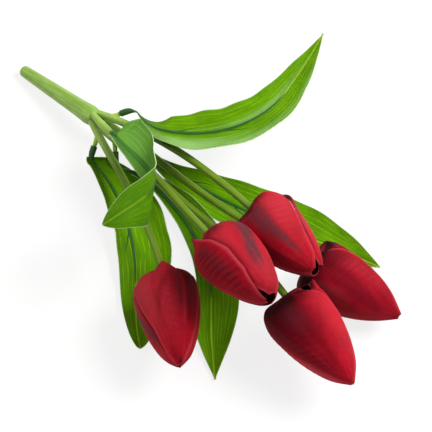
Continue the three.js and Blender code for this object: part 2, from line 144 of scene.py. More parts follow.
# Shares of the half width that a leaf's right and left halves keep, and that the right half is swept back
TRIM_STATIONS = (0, 0.1, 0.2, 0.3, 0.4, 0.5, 0.6, 0.7, 0.85, 1)
PATH_STEPS = 64  # steps in which a line is followed
SPRAYS = (
    {
        "length": 146.8, "heading": (-23, -21.5, -24.5, -38), "pitch": (12, 7, 0, 6), "peg": 14,
        "leaf": {
            "length": 158, "width": 39.4, "widest": 0.4, "base": 0.51, "tip": 0.5,
            "fold": 0.22, "lean": 0.35,
            "heading": (-70, -4, -19, -34, -49, -36),
            "pitch": (-30, -8, -6, -4, -2, -2),
            "roll": (0, -38, -28, -27, 1, 0),
        },
        "bud": 1, "turn": 97,
    },
    {
        "length": 165.2, "heading": (-16, -12, -14, -12.5), "pitch": (22, 18.5, 15.5, 17), "peg": 28,
        "leaf": {
            "length": 129, "width": 44, "widest": 0.5, "base": 0.34, "tip": 0.72,
            "fold": -0.45, "lean": 0,
            "heading": (-30, -10, -8, -26, -85, -102),
            "pitch": (58, 7, 10, 35, 28, -1),
            "roll": (-180, -212, -196, -128, -41, 4),
            "right": (1, 1.3, 1, 0.58, 0.45, 0.4, 0.5, 0.6, 0.75, 1),
            "left": (0.4, 0.4, 0.38, 0.35, 0.35, 0.45, 0.85, 1, 1, 1),
            "sweep": (0.2, 0.5, 0.1, 0, 0, 0, 0, 0, 0, 0),
        },
        "bud": 0.975, "turn": 180,
    },
    {
        "length": 156.6, "heading": (9, 3, -3, -8.5), "pitch": (18, 16, 10, 8), "peg": 11,
        "leaf": {
            "length": 198, "width": 41.2, "widest": 0.35, "base": 1.5, "tip": 1.03,
            "fold": 0.22, "lean": -0.06,
            "heading": (46, -24, 20, 57, 99, 107),
            "pitch": (28, 18, 12, 6, 1, -4),
            "roll": (-70, -60, -20, -15, -8, 4),
            "right": (0.4, 0.35, 0.85, 1, 1, 1, 1, 1, 1, 1),
        },
        "bud": 0.965, "turn": 136,
    },
    {
        "length": 209.4, "heading": (-3, -8.5, -2.5, -14), "pitch": (8, 8, 14, -5), "peg": 22,
        "leaf": {
            "length": 196, "width": 29.2, "widest": 0.7, "base": 1.37, "tip": 1,
            "fold": 0.22, "lean": 0.33,
            "heading": (-45, 25, -2, -21, -49, -42),
            "pitch": (-20, -6, -5, -3, -1, -1),
            "left": (1, 1.1, 1.5, 1.4, 1.25, 1.1, 1, 1, 1, 1),
            "right": (1, 1, 1, 1, 1, 1, 1, 1.08, 1.3, 1.2),
        },
        "bud": 1.04, "turn": 112,
    },
    {
        "length": 195.2, "heading": (4, -2, 3, 8.5), "pitch": (1, 5.5, 6, -6.5), "peg": 22,
        "leaf": {
            "length": 201, "width": 40.6, "widest": 0.63, "base": 1.23, "tip": 0.89,
            "fold": 0.22, "lean": 0.08,
            "heading": (20, -6, 11, 13, 19, 16),
            "pitch": (-35, -3, -2, -1, -1, -1),
            "right": (1.3, 1.3, 1.3, 1.3, 1.2, 1.1, 1, 1, 1, 1),
        },
        "bud": 1.02, "turn": 141,
    },
)
NUMBERS = range(1, len(SPRAYS) + 1)

# Bud outline as shares of its radius and length, from the petals' claws to their tips
BUD_PROFILE = (
    (0.5, 0), (0.82, 0.035), (0.97, 0.12), (1, 0.25), (0.92, 0.47), (0.72, 0.71), (0.44, 0.91), (0.2, 1),
)
CLAW = (3.6 * MM, 2 * MM)  # radius and height
OUTER_GRID = (120, 49)  # rows and columns of a petal
INNER_GRID = (40, 31)
INNER_REACH = 0.9  # how much of the outline an inner petal takes
CRIMP_COUNT = 26
CRIMP_SLANT = 2.2
RIPPLE = 0.1  # mm
SWELL = 0.25  # mm

# Places on a petal are its share across, -1 to 1, and its share along the bud's outline, 0 at its claw.
# Half spreads of a petal at EDGE_STATIONS, in degrees, on its minus and plus sides. Other petals are plain,
# or wide to their tips on the closed heads
EDGE_STATIONS = (0, 0.2, 0.32, 0.46, 0.6, 0.74, 0.86, 1)
PLAIN_EDGE = (40, 48, 62, 72, 72, 70, 62, 40)
CLOSED_EDGE = (40, 48, 62, 72, 72, 72, 70, 66)
CLOSED_HEADS = ("1", "4", "5")
EDGES = {
    "1a": ((40, 50, 66, 76, 74, 72, 66, 62), (40, 40, 44, 62, 52, 38, 36, 45)),
    "1b": ((40, 48, 62, 72, 78, 88, 92, 85), CLOSED_EDGE),
    "2a": ((36, 34, 48, 67, 79, 76, 60, 34), PLAIN_EDGE),
    "2b": (PLAIN_EDGE, (40, 48, 62, 80, 92, 92, 84, 50)),
    "2c": ((40, 48, 62, 68, 50, 42, 52, 34), PLAIN_EDGE),
    "3a": ((40, 62, 100, 106, 90, 76, 72, 34), (40, 48, 62, 78, 68, 46, 40, 28)),
    "3b": ((40, 48, 62, 72, 78, 88, 92, 70), PLAIN_EDGE),
    "4a": ((40, 38, 38, 66, 84, 86, 84, 75), (40, 56, 80, 82, 70, 50, 42, 42)),
    "4b": ((40, 48, 62, 72, 76, 88, 92, 90), CLOSED_EDGE),
    "5a": ((40, 50, 62, 86, 112, 116, 100, 75), (40, 52, 70, 80, 82, 80, 76, 70)),
}
# Whether the minus and plus sides of a petal lie on top of its neighbours (1) or under them (-1)
ON_TOP = {head + letter: sides for head in "1345" for letter, sides in (("a", (1, 1)), ("b", (-1, -1)))}
# Petals with only a faint painted shadow line beside a neighbour's edge
FAINT_EDGE_SHADOWS = ("1c", "2a", "2b", "2c", "4c", "5c")
# Folds of a petal's shoulder: place, half widths, and how far they rise towards the stem and stand out, in mm
PEAKS = {
    "1a": ((-0.16, 0.29, 0.42, 0.11, 4.4, 1.6),),
    "1b": ((-0.55, 0.27, 0.3, 0.09, 1.5, 0.8),),
    "1c": ((0.45, 0.30, 0.4, 0.09, 1.5, 0.8),),
    "2a": ((-0.97, 0.25, 0.35, 0.09, 4.5, 1.5),),
    "3a": ((-0.78, 0.30, 0.26, 0.1, 1.4, 0.9), (-0.18, 0.29, 0.6, 0.12, -3.4, -0.8)),
    "3c": ((0.1, 0.46, 0.3, 0.09, 1.0, 3.4),),
    "4a": ((0.75, 0.28, 0.5, 0.1, 1.5, 0.8), (-0.95, 0.33, 0.25, 0.06, -1.5, 0.3)),
    "4c": ((0.72, 0.33, 0.22, 0.07, 3.6, 1.8),),
    "5a": ((-0.95, 0.35, 0.3, 0.08, -1.0, 0.4),),
    "5c": ((0.45, 0.32, 0.25, 0.08, 1.5, 1.2),),
}
# Printed streaks: the places where each starts and ends, half width across and strength
STREAKS = {
    "1a": ((-0.74, 0.42, -0.66, 0.66, 0.07, 0.55), (-0.38, 0.4, -0.36, 0.66, 0.06, 0.5)),
    "2a": ((-0.62, 0.40, -0.55, 0.74, 0.18, 0.25),),
    "1b": ((-0.58, 0.62, -0.8, 0.82, 0.11, 1.0),),
    "2c": ((-0.44, 0.36, 0.12, 0.78, 0.27, 1.05), (0.0, 0.27, 0.0, 0.34, 1.5, 0.7)),
    "3a": ((-0.22, 0.34, -0.25, 0.66, 0.16, 0.9), (-0.26, 0.56, -0.42, 0.82, 0.12, 0.85)),
    "4a": ((0.1, 0.3, 0.0, 0.6, 0.25, 0.35),),
}
PLAIN_STREAK = ((0.0, 0.34, 0.0, 0.66, 0.16, 0.5),)
# Near-black marks, partly dyed and partly painted shadow in the gaps and openings between petals: place, half
# widths and strength
DYES_AND_SHADOWS = {
    "1a": ((-0.85, 0.36, 0.3, 0.1, 0.5), (-0.5, 0.96, 0.3, 0.03, 0.7)),
    "1b": ((-0.6, 0.31, 0.4, 0.06, 0.8),),
    "2c": ((0.62, 0.34, 0.3, 0.1, 0.6),),
    "3c": ((0.24, 0.42, 0.12, 0.12, 1.2),),
    "4a": ((0.15, 0.31, 0.8, 0.13, 0.9), (-0.8, 0.33, 0.26, 0.04, 1.0)),
    "4c": ((0.95, 0.33, 0.14, 0.07, 1.0),),
    "5a": ((-0.85, 0.33, 0.3, 0.05, 1.1), (-0.1, 0.34, 0.8, 0.1, 0.7)),
    "5c": ((0.5, 0.345, 0.42, 0.06, 1.3),),
}
# Painted shade in deeper red: place, half widths and strength, or a streak's start, end, half width and strength
SHADES = {
    "1a": ((-0.85, 0.45, 0.35, 0.2, 0.8), (0.1, 0.9, 0.5, 0.1, 0.4), (-0.1, 0.46, 0.35, 0.68, 0.1, 0.35)),
    "2a": ((-0.3, 0.6, 0.45, 0.25, 0.5),),
    "3a": ((0.35, 0.66, 0.45, 0.25, 0.7),),
    "4a": ((0.35, 0.48, 0.72, 0.32, 1.0), (-0.1, 0.36, 0.6, 0.1, 0.9), (0.4, 0.8, 0.6, 0.2, 0.5)),
    "5a": ((-0.2, 0.38, 1.0, 0.17, 0.95), (-0.45, 0.44, -0.1, 0.9, 0.2, 0.8), (0.45, 0.6, 0.5, 0.4, 0.6),
           (-0.3, 0.62, 1.1, 0.4, 0.35), (-0.2, 0.95, 0.9, 0.12, 0.5), (-0.6, 0.47, 0.3, 0.12, 0.9),
           (-0.6, 0.85, 0.5, 0.12, 0.6)),
    "5c": ((0.2, 0.5, 0.6, 0.25, 0.6),),
}
# Painted highlights in brighter red, as places or streaks in the same way
LIGHTS = {
    "1a": ((0.65, 0.5, 0.4, 0.25, 0.7), (0.15, 0.5, 0.5, 0.3, 0.35), (-0.55, 0.42, -0.5, 0.72, 0.06, 0.8)),
    "1b": ((-0.7, 0.88, 0.5, 0.1, 0.4),),
    "2a": ((-0.98, 0.34, -0.98, 0.9, 0.06, 1.0),),
    "2c": ((-0.1, 0.78, 0.8, 0.2, 0.4), (0.45, 0.5, 0.3, 0.2, 0.4)),
    "3a": ((-0.66, 0.5, 0.3, 0.25, 0.6),),
    "3b": ((-0.8, 0.85, 0.4, 0.2, 0.7),),
    "3c": ((0.1, 0.6, 0.4, 0.25, 0.7),),
    "4a": ((-0.75, 0.6, 0.3, 0.25, 0.25),),
    "4b": ((-0.85, 0.75, 0.5, 0.3, 0.9),),
    "5a": ((-0.66, 0.6, 0.14, 0.2, 0.3),),
}
# Painted masks: their tables, and what other outer petals have
PAINTS = {"streak": (STREAKS, PLAIN_STREAK), "dye_and_shadow": (DYES_AND_SHADOWS, ()), "shade": (SHADES, ()), "light": (LIGHTS, ())}
# Pressed crimps, with painted shade in their hollows: share across, half width and strength
CRIMPS = {"2a": (-0.48, 0.3, 1.0), "4a": (0.5, 0.45, 0.55), "5a": (-0.55, 0.3, 0.35), "1a": (-0.1, 0.4, 0.2)}
PLAIN_CRIMP = (-0.48, 0.3, 0.25)
# Soft long folds: the places where each starts and ends, half width across, and height in mm
FOLDS = {
    "1a": ((-0.2, 0.3, 0.3, 0.75, 0.2, 0.8), (-0.62, 0.36, -0.45, 0.75, 0.09, -0.6)),
    "2c": ((0.25, 0.4, 0.1, 0.8, 0.14, 0.5),),
    "3a": ((0.25, 0.35, 0.1, 0.8, 0.16, 0.7), (-0.45, 0.35, -0.35, 0.7, 0.12, 0.4)),
    "4a": ((-0.32, 0.34, -0.2, 0.9, 0.13, 1.0), (0.5, 0.4, 0.4, 0.8, 0.16, 0.6)),
    "5a": ((-0.12, 0.36, -0.05, 0.85, 0.2, 0.8), (-0.5, 0.4, -0.35, 0.75, 0.1, -0.5)),
}
# Petals whose minus edges are frayed, and how much
FRAYS = {"3a": 1.0, "2c": 0.5, "1a": 0.2}
# Painted sheen (pale) and painted shade (dark) on a leaf: kind, share across and along, half widths and strength
LEAF_MARKS = {
    2: (("dark", 0.75, 0.16, 0.6, 0.2, 0.7), ("dark", 0.3, 0.8, 2.0, 0.4, 0.75)),
    3: (("pale", -0.72, 0.31, 0.42, 0.13, 0.95), ("pale", -0.95, 0.48, 0.3, 0.18, 0.8),
        ("pale", -0.95, 0.75, 0.2, 0.14, 0.6), ("pale", 0.2, 0.6, 0.16, 0.18, 0.5),
        ("dark", 0.3, 0.06, 1.5, 0.07, 0.8)),
    4: (("dark", -0.6, 0.35, 0.5, 0.3, 0.5),),
}
# How far the tips of each head close, as a share of the bud's open tip, how far they reach beyond it and
# lean aside, in mm, and towards which angle about the head, in degrees
TIPS = ((0.3, 2.5, 0, 0), (0.95, 0, 0, 0), (1.15, 0, 0, 0), (0.25, 4, 1.5, -96), (0.4, 5, 3.5, -118))


def shade(code):
    """A written colour, such as a81a2a, as linear red, green, blue and alpha."""
    parts = [int(code[i:i + 2], 16) / 255 for i in (0, 2, 4)]
    return (*[p / 12.92 if p <= 0.04045 else ((p + 0.055) / 1.055) ** 2.4 for p in parts], 1.0)


def length(name, description, millimetres):
    return bpy.props.FloatProperty(
        name=name, description=description, default=millimetres * MM, min=0, precision=5, unit="LENGTH")


def colour(name, description, code):
    return bpy.props.FloatVectorProperty(
        name=name, description=description, default=shade(code), size=4, min=0, max=1, subtype="COLOR")


class BouquetSizes(bpy.types.PropertyGroup):
    """Sizes of the bouquet's pieces."""

    stem_root: length("Stem root radius", "Radius of a stem where it leaves the crown", 2.35)
    stem_radius: length("Stem radius", "Radius of a stem past its root", 2.9)
    stem_tip: length("Stem tip radius", "Radius of a stem under its flower", 2.5)
    peg_foot: length("Peg foot radius", "Radius of a leaf peg where it leaves the stem", 2.0)
    peg_radius: length("Peg radius", "Radius of a leaf peg inside the leaf's sleeve", 1.3)
    sleeve_radius: length("Sleeve radius", "Outer radius of the sleeve on a leaf peg", 2.4)
    rib_width: length("Rib width", "Width of a leaf's moulded midrib at its base", 2.5)
    rib_height: length("Rib height", "Height of a leaf's moulded midrib at its base", 1.0)
    blade_thickness: length("Leaf thickness", "Thickness of a leaf's fabric", 0.5)
    margin_wave: length("Leaf margin wave", "How far a leaf's margin waves", 0.7)
    petal_thickness: length("Petal thickness", "Thickness of a petal's fabric", 0.4)
    bud_length: length("Bud length", "Length of a flower head", 65)
    bud_radius: length("Bud radius", "Greatest radius of a flower head", 22)
    edge_step: length("Petal edge step", "How far a petal's edge lies over its neighbour", 0.65)
    whorl_gap: length("Whorl gap", "How far the inner petals lie inside the outer ones", 4.4)
    crimp: length("Petal crimp", "Depth of the pressed crimps beside a petal's edge", 0.3)


class BouquetColours(bpy.types.PropertyGroup):
    """Colours of the bouquet's materials."""

    trunk: colour("Trunk", "Pale moulded trunk", "7ea23c")
    trunk_sheen: colour("Trunk sheen", "Soft sheen of the trunk", "bdd592")
    trunk_streak: colour("Trunk streak", "Paler streaks along the trunk", "98ba62")
    stem: colour("Stem", "Moulded stems", "6f8a1c")
    stem_root: colour("Stem root", "Stems near the crown", "98bb58")
    peg: colour("Peg", "Leaf pegs", "b8d43c")
    rib: colour("Leaf rib", "Moulded sleeves and midribs", "1f5424")
    leaf: colour("Leaf face", "Glossy face of the leaves", "5a9100")
    leaf_deep: colour("Leaf shade", "Deeper parts of the leaves' face", "346400")
    leaf_vein: colour("Leaf vein", "Veins printed on the leaves' face", "abcf2c")
    # Painted shade on the leaves' face
    leaf_painted_shade: colour("Leaf dark", "Darkest marks on the leaves' face", "285400")
    leaf_back: colour("Leaf back", "Pale back of the leaves", "62923f")
    # Also the colour of the painted sheen on the leaves
    leaf_back_vein_and_sheen: colour("Leaf back vein", "Veins on the back of the leaves", "9fc680")
    leaf_edge: colour("Leaf edge", "Cut edge of the leaves", "d3e8bd")
    petal: colour("Petal", "Red fabric of the petals", "aa041b")
    petal_deep: colour("Petal shade", "Deeper red of the petals", "520010")
    # Lighter red for painted highlights, a painted highlight along the petals' edges, pale mottling and the cut
    # edges' threads
    petal_light: colour("Petal light", "Rubbed and lighter red at the petals' edges", "bb3843")
    petal_fray: colour("Petal fray", "Frayed threads at the petals' edges", "e0a8a2")
    petal_streak: colour("Petal streak", "Printed streaks on the petals", "562a31")
    # Near-black: dyed claws, and painted shadow inside the head, in the gaps between petals and beside the edges
    # of petals on top
    petal_dye_and_shadow: colour("Petal dye", "Dark dye at the petals' claws and inside the head", "1d0608")
    steel: colour("Steel", "Wires", "8c8f92")
    floor: colour("Floor", "Table under the bouquet", "f7f7f5")


# Lines in space

def frames(heading, pitch, roll):
    """Tangents, sides and normals for angles in radians."""
    tangent = np.stack([np.cos(pitch) * np.cos(heading), np.cos(pitch) * np.sin(heading), np.sin(pitch)], -1)
    level = np.stack([-np.sin(heading), np.cos(heading), np.zeros_like(heading)], -1)
    above = np.cross(tangent, level)
    turn, lean = np.cos(roll)[..., None], np.sin(roll)[..., None]
    return tangent, level * turn + above * lean, above * turn - level * lean


class Line:
    """A line of a given length whose direction follows the listed angles."""

    def __init__(self, start, long, stations, heading, pitch, roll=None):
        self.long = long
        self.stations = stations
        self.angles = [np.radians(a) for a in (heading, pitch, roll or [0] * len(heading))]
        middles = (np.arange(PATH_STEPS) + 0.5) / PATH_STEPS
        steps = self.frames(middles)[0] * long / PATH_STEPS
        self.places = np.array(start) + np.vstack([np.zeros(3), np.cumsum(steps, 0)])

    def frames(self, share):
        return frames(*[np.interp(share, self.stations, a) for a in self.angles])

    def at(self, distance):
        """Places, tangents, sides and normals at the distances."""
        distance = np.asarray(distance, float)
        share = np.clip(distance / self.long, 0, 1)
        knots = np.linspace(0, 1, PATH_STEPS + 1)
        place = np.stack([np.interp(share, knots, self.places[:, k]) for k in range(3)], -1)
        tangent, side, normal = self.frames(share)
        return place + tangent * (distance - share * self.long)[..., None], tangent, side, normal


def stem_line(number):
    spray = SPRAYS[number - 1]
    start = JOINTS[f"stem_{number}_bend"]["pos_m"]
    stations = np.linspace(0, 1, len(spray["heading"]))
    return Line(start, spray["length"] * MM, stations, spray["heading"], spray["pitch"])


def smooth(value, start, end):
    """0 at start, 1 at end, and a smooth step between."""
    t = np.clip((value - start) / (end - start), 0, 1)
    return t * t * (3 - 2 * t)


def unit(vectors):
    return vectors / np.linalg.norm(vectors, axis=-1, keepdims=True)


# Meshes

def mesh_object(name, points, faces, corner_maps, materials, face_materials=None, facts=None):
    """An object of a mesh with maps on its corners, materials and facts on its points."""
    mesh = bpy.data.meshes.new(name)
    mesh.from_pydata([tuple(p) for p in points], [], faces)
    for map_name, corners in corner_maps.items():
        layer = mesh.uv_layers.new(name=map_name)
        layer.uv.foreach_set("vector", np.asarray(corners, np.float32).ravel())
    for fact, values in (facts or {}).items():
        attribute = mesh.attributes.new(fact, "FLOAT", "POINT")
        attribute.data.foreach_set("value", np.asarray(values, np.float32).ravel())
    for material in materials:
        mesh.materials.append(material)
    if face_materials is not None:
        mesh.polygons.foreach_set("material_index", np.asarray(face_materials, np.int32))
    mesh.shade_smooth()
    mesh.set_sharp_from_angle(angle=SHARP_EDGE)
    mesh.validate()
    made = bpy.data.objects.new(name, mesh)
    bpy.context.scene.collection.objects.link(made)
    return made


def sheet_object(name, middle, thickness, share, cloth, materials, facts):
    """A thin sheet on a grid of points: its upper face, lower face and cut edge have a material each."""
    rows, columns = middle.shape[:2]
    normal = unit(np.cross(np.gradient(middle, axis=0), np.gradient(middle, axis=1)))
    count = rows * columns
    points = np.concatenate([(middle + normal * thickness / 2).reshape(-1, 3),
                             (middle - normal * thickness / 2).reshape(-1, 3)])
    start = (np.arange(rows - 1)[:, None] * columns + np.arange(columns - 1)).ravel()
    upper = np.stack([start, start + columns, start + columns + 1, start + 1], -1)
    border = np.concatenate([np.arange(rows) * columns,
                             (rows - 1) * columns + np.arange(1, columns),
                             np.arange(rows - 2, -1, -1) * columns + columns - 1,
                             np.arange(columns - 2, 0, -1)])
    following = np.roll(border, -1)
    strip = np.stack([border, border + count, following + count, following], -1)
    faces = np.concatenate([upper, upper[:, ::-1] + count, strip])
    kinds = np.repeat([0, 1, 2], [len(upper), len(upper), len(strip)])
    corners = faces.ravel() % count
    maps = {"UVMap": share.reshape(-1, 2)[corners], "Cloth": cloth.reshape(-1, 2)[corners]}
    both = {fact: np.tile(values.ravel(), 2) for fact, values in facts.items()}
    return mesh_object(name, points, faces.tolist(), maps, materials, kinds, both)


def cut_size(middle):
    """Width, length and area of the flat cut that a sheet on a grid of points was made from."""
    down, over = np.diff(middle, axis=0), np.diff(middle, axis=1)
    area = np.linalg.norm(np.cross(down[:, :-1], over[:-1]), axis=-1).sum()
    long, wide = np.linalg.norm(down, axis=-1), np.linalg.norm(over, axis=-1)
    return wide.sum(1).max(), long.sum(0).max(), area


def ring_angles(sides):
    return np.arange(sides) * 2 * math.pi / sides


def tube(rings, sides):
    """Points, faces and maps of a closed round form: rings are (place, side, normal, radius or radii)."""
    angles = ring_angles(sides)
    points, lengths, reach = [], [0.0], []
    for i, (place, side, normal, radius) in enumerate(rings):
        radii = np.broadcast_to(radius, sides)[:, None]
        points.append(place + radii * (np.cos(angles)[:, None] * side + np.sin(angles)[:, None] * normal))
        reach.append(float(np.mean(radius)))
        if i:
            run = np.linalg.norm(place - rings[i - 1][0])
            lengths.append(lengths[-1] + math.hypot(run, reach[i] - reach[i - 1]))
    faces, share, cloth = [], [], []
    total = max(lengths[-1], 1e-9)
    widest = 2 * math.pi * max(reach)
    for i in range(len(rings) - 1):
        for k in range(sides):
            after = (k + 1) % sides
            faces.append((i * sides + k, i * sides + after, (i + 1) * sides + after, (i + 1) * sides + k))
            for row, step in ((i, k), (i, k + 1), (i + 1, k + 1), (i + 1, k)):
                share.append((step / sides, lengths[row] / total))
                cloth.append((step / sides * widest, lengths[row]))
    last = (len(rings) - 1) * sides
    for ring, row in ((range(sides - 1, -1, -1), 0), (range(last, last + sides), len(rings) - 1)):
        faces.append(tuple(ring))
        share += [(0.5, lengths[row] / total)] * sides
        cloth += [(0.0, lengths[row])] * sides
    return np.concatenate(points), faces, {"UVMap": share, "Cloth": cloth}


def joined(parts):
    """Several (points, faces, maps) as one."""
    points, faces, maps, shift = [], [], {"UVMap": [], "Cloth": []}, 0
    for more_points, more_faces, more_maps in parts:
        points.append(more_points)
        faces += [tuple(v + shift for v in face) for face in more_faces]
        for name, rows in more_maps.items():
            maps[name] += list(rows)
        shift += len(more_points)
    return np.concatenate(points), faces, maps


def along(line, stations, sides):
    """A tube along a line: stations are (distance, radius)."""
    distances, radii = zip(*stations)
    place, _, side, normal = line.at(distances)
    return tube(list(zip(place, side, normal, radii)), sides)


# Shader nodes

class Nodes:
    """A shader tree with short ways to add nodes to it. Inputs are values or sockets to link."""

    def __init__(self, tree):
        self.tree = tree

    def add(self, kind, inputs=None, **settings):
        """A node with its settings and inputs."""
        made = self.tree.nodes.new(kind)
        for key, value in settings.items():
            setattr(made, key, value)
        for key, value in (inputs or {}).items():
            if isinstance(value, bpy.types.NodeSocket):
                self.tree.links.new(value, made.inputs[key])
            else:
                made.inputs[key].default_value = value
        return made

    def calc(self, operation, *values):
        return self.add("ShaderNodeMath", dict(enumerate(values)), operation=operation).outputs[0]

    def times(self, first, second):
        return self.calc("MULTIPLY", first, second)

    def ramp(self, value, slope, start):
        """A value times a slope, plus a start."""
        return self.calc("MULTIPLY_ADD", value, slope, start)

    def fade(self, value, start, end):
        """0 at start, 1 at end, and a smooth step between."""
        inputs = {"Value": value, "From Min": start, "From Max": end}
        return self.add("ShaderNodeMapRange", inputs, interpolation_type="SMOOTHSTEP").outputs[0]

    def mix(self, factor, first, second, blend="MIX"):
        inputs = {0: factor, 6: first, 7: second}
        return self.add("ShaderNodeMix", inputs, data_type="RGBA", blend_type=blend).outputs[2]

    def washed(self, tint, *washes):
        """A tint under washes of other colours, each as its mask, strength and colour."""
        for mask, strength, wash in washes:
            tint = self.mix(self.times(mask, strength), tint, wash)
        return tint

    def noise(self, where, scale, detail):
        return self.add("ShaderNodeTexNoise", {"Vector": where, "Scale": scale, "Detail": detail}).outputs[0]

    def own_place(self):
        """The place on the piece itself."""
        return self.add("ShaderNodeTexCoord").outputs["Object"]

    def scaled_place(self, *parts):
        """A place from the value and the scale along each axis."""
        axes = {axis: self.times(*part) for axis, part in enumerate(parts)}
        return self.add("ShaderNodeCombineXYZ", axes).outputs[0]

    def map_parts(self, name):
        """The two numbers of one of a mesh's maps."""
        where = self.add("ShaderNodeUVMap", uv_map=name).outputs[0]
        apart = self.add("ShaderNodeSeparateXYZ", {0: where})
        return apart.outputs[0], apart.outputs[1]

    def fact(self, name):
        """A fact that the mesh keeps on its points."""
        return self.add("ShaderNodeAttribute", attribute_name=name).outputs["Fac"]

    def use(self, name, **inputs):
        """A shared node group placed here with its own values: its outputs."""
        made = bpy.data.node_groups.get(name) or shared_group(name)
        return self.add("ShaderNodeGroup", inputs, node_tree=made).outputs


def fabric_weave(nodes, given):
    """Crossed threads of a fabric, from the map in metres."""
    waves = []
    for part in nodes.map_parts("Cloth"):
        turns = nodes.times(part, nodes.times(given["Threads"], 2 * math.pi))
        waves.append(nodes.calc("SINE", turns))
    slubs = nodes.noise(nodes.own_place(), 900, 2)
    height = nodes.ramp(nodes.times(*waves), 0.25, nodes.times(slubs, given["Slub"]))
    return {"Height": height, "Shade": slubs}


def long_veins(nodes, given):
    """Lines that run the length of a sheet, from its share map: 1 on a line."""
    u, v = nodes.map_parts("UVMap")
    wander = nodes.noise(nodes.scaled_place((u, 3), (v, 5)), 1, 1)
    place = nodes.ramp(u, given["Count"], nodes.times(wander, given["Wander"]))
    off = nodes.calc("ABSOLUTE", nodes.calc("SUBTRACT", nodes.calc("FRACT", place), 0.5))
    line = nodes.fade(off, given["Width"], 0)
    broken = nodes.noise(nodes.scaled_place((u, 40), (v, 7)), 1, 2)
    return {"Line": nodes.times(line, nodes.fade(broken, 0.3, 0.6)), "Height": line}


def soft_mottle(nodes, given):
    """Soft uneven patches, from the piece's own place."""
    patches = nodes.noise(nodes.own_place(), given["Scale"], 3)
    low, high = [nodes.calc(operation, 0.5, given["Contrast"]) for operation in ("SUBTRACT", "ADD")]
    return {"Value": nodes.fade(patches, low, high)}


def moulded_streaks(nodes, given):
    """Streaks along a moulded rod, from its share map."""
    u, v = nodes.map_parts("UVMap")
    turn = nodes.times(u, 2 * math.pi)
    spread = nodes.times(given["Around"], 1 / (2 * math.pi))
    round_rod = [(nodes.calc(operation, turn), spread) for operation in ("COSINE", "SINE")]
    streaks = nodes.noise(nodes.scaled_place(*round_rod, (v, given["Along"])), 1, 2)
    return {"Value": nodes.fade(streaks, 0.35, 0.65)}


# Shared effects: how each is made, its inputs with their defaults, and its outputs
GROUPS = {
    "fabric_weave": (fabric_weave, {"Threads": 1600, "Slub": 0.4}, ("Height", "Shade")),
    "long_veins": (long_veins, {"Count": 8, "Width": 0.2, "Wander": 0.15}, ("Line", "Height")),
    "soft_mottle": (soft_mottle, {"Scale": 60, "Contrast": 0.2}, ("Value",)),
    "moulded_streaks": (moulded_streaks, {"Around": 22, "Along": 3}, ("Value",)),
}


def shared_group(name):
    """The node group of a shared effect, with its named sockets."""
    effect, inputs, outputs = GROUPS[name]
    tree = bpy.data.node_groups.new(name, "ShaderNodeTree")
    for socket, value in inputs.items():
        tree.interface.new_socket(socket, in_out="INPUT", socket_type="NodeSocketFloat").default_value = value
    for socket in outputs:
        tree.interface.new_socket(socket, in_out="OUTPUT", socket_type="NodeSocketFloat")
    given = tree.nodes.new("NodeGroupInput").outputs
    out = tree.nodes.new("NodeGroupOutput").inputs
    for socket, value in effect(Nodes(tree), given).items():
        tree.links.new(value, out[socket])
    return tree


def new_material(name, **settings):
    """A material, its nodes and its shader. Numbers that are the same all over are set on the shader."""
    made = bpy.data.materials.new(name)
    made.use_nodes = True
    shader = made.node_tree.nodes["Principled BSDF"]
    for key, value in settings.items():
        shader.inputs[key.replace("_", " ")].default_value = value
    return made, Nodes(made.node_tree), shader


def dress(nodes, shader, tint, roughness, height=None, relief=0):
    """Link a shader's colour, roughness and bumps, whose relief is in metres at a height of 1."""
    looks = {"Base Color": tint, "Roughness": roughness}
    if height is not None:
        inputs = {"Height": height, "Strength": 1.0, "Distance": relief}
        looks["Normal"] = nodes.add("ShaderNodeBump", inputs).outputs[0]
    for name, socket in looks.items():
        nodes.tree.links.new(socket, shader.inputs[name])


def moulded_material(name, base, streak, root=None, roughness=0.42, sheen=None):
    """Moulded plastic with streaks along it, and its root's own colour and a soft sheen where given."""
    gloss = {} if sheen is None else {"Sheen_Weight": 0.5, "Sheen_Roughness": 0.4, "Sheen_Tint": sheen}
    made, nodes, shader = new_material(name, Specular_IOR_Level=0.2, **gloss)
    streaks = nodes.use("moulded_streaks", Around=16, Along=5)["Value"]
    patches = nodes.use("soft_mottle", Scale=140, Contrast=0.25)["Value"]
    tint = nodes.washed(base, (streaks, 0.6, streak))
    if root is not None:
        _, run = nodes.map_parts("Cloth")
        tint = nodes.mix(nodes.fade(run, ROOT_FADE * MM, 0.2 * ROOT_FADE * MM), tint, root)
    tint = nodes.mix(nodes.times(patches, 0.12), tint, (0.02, 0.05, 0.01, 1), "MULTIPLY")
    height = nodes.ramp(patches, 0.5, streaks)
    dress(nodes, shader, tint, nodes.ramp(streaks, 0.12, roughness), height, 0.12 * MM)
    return made


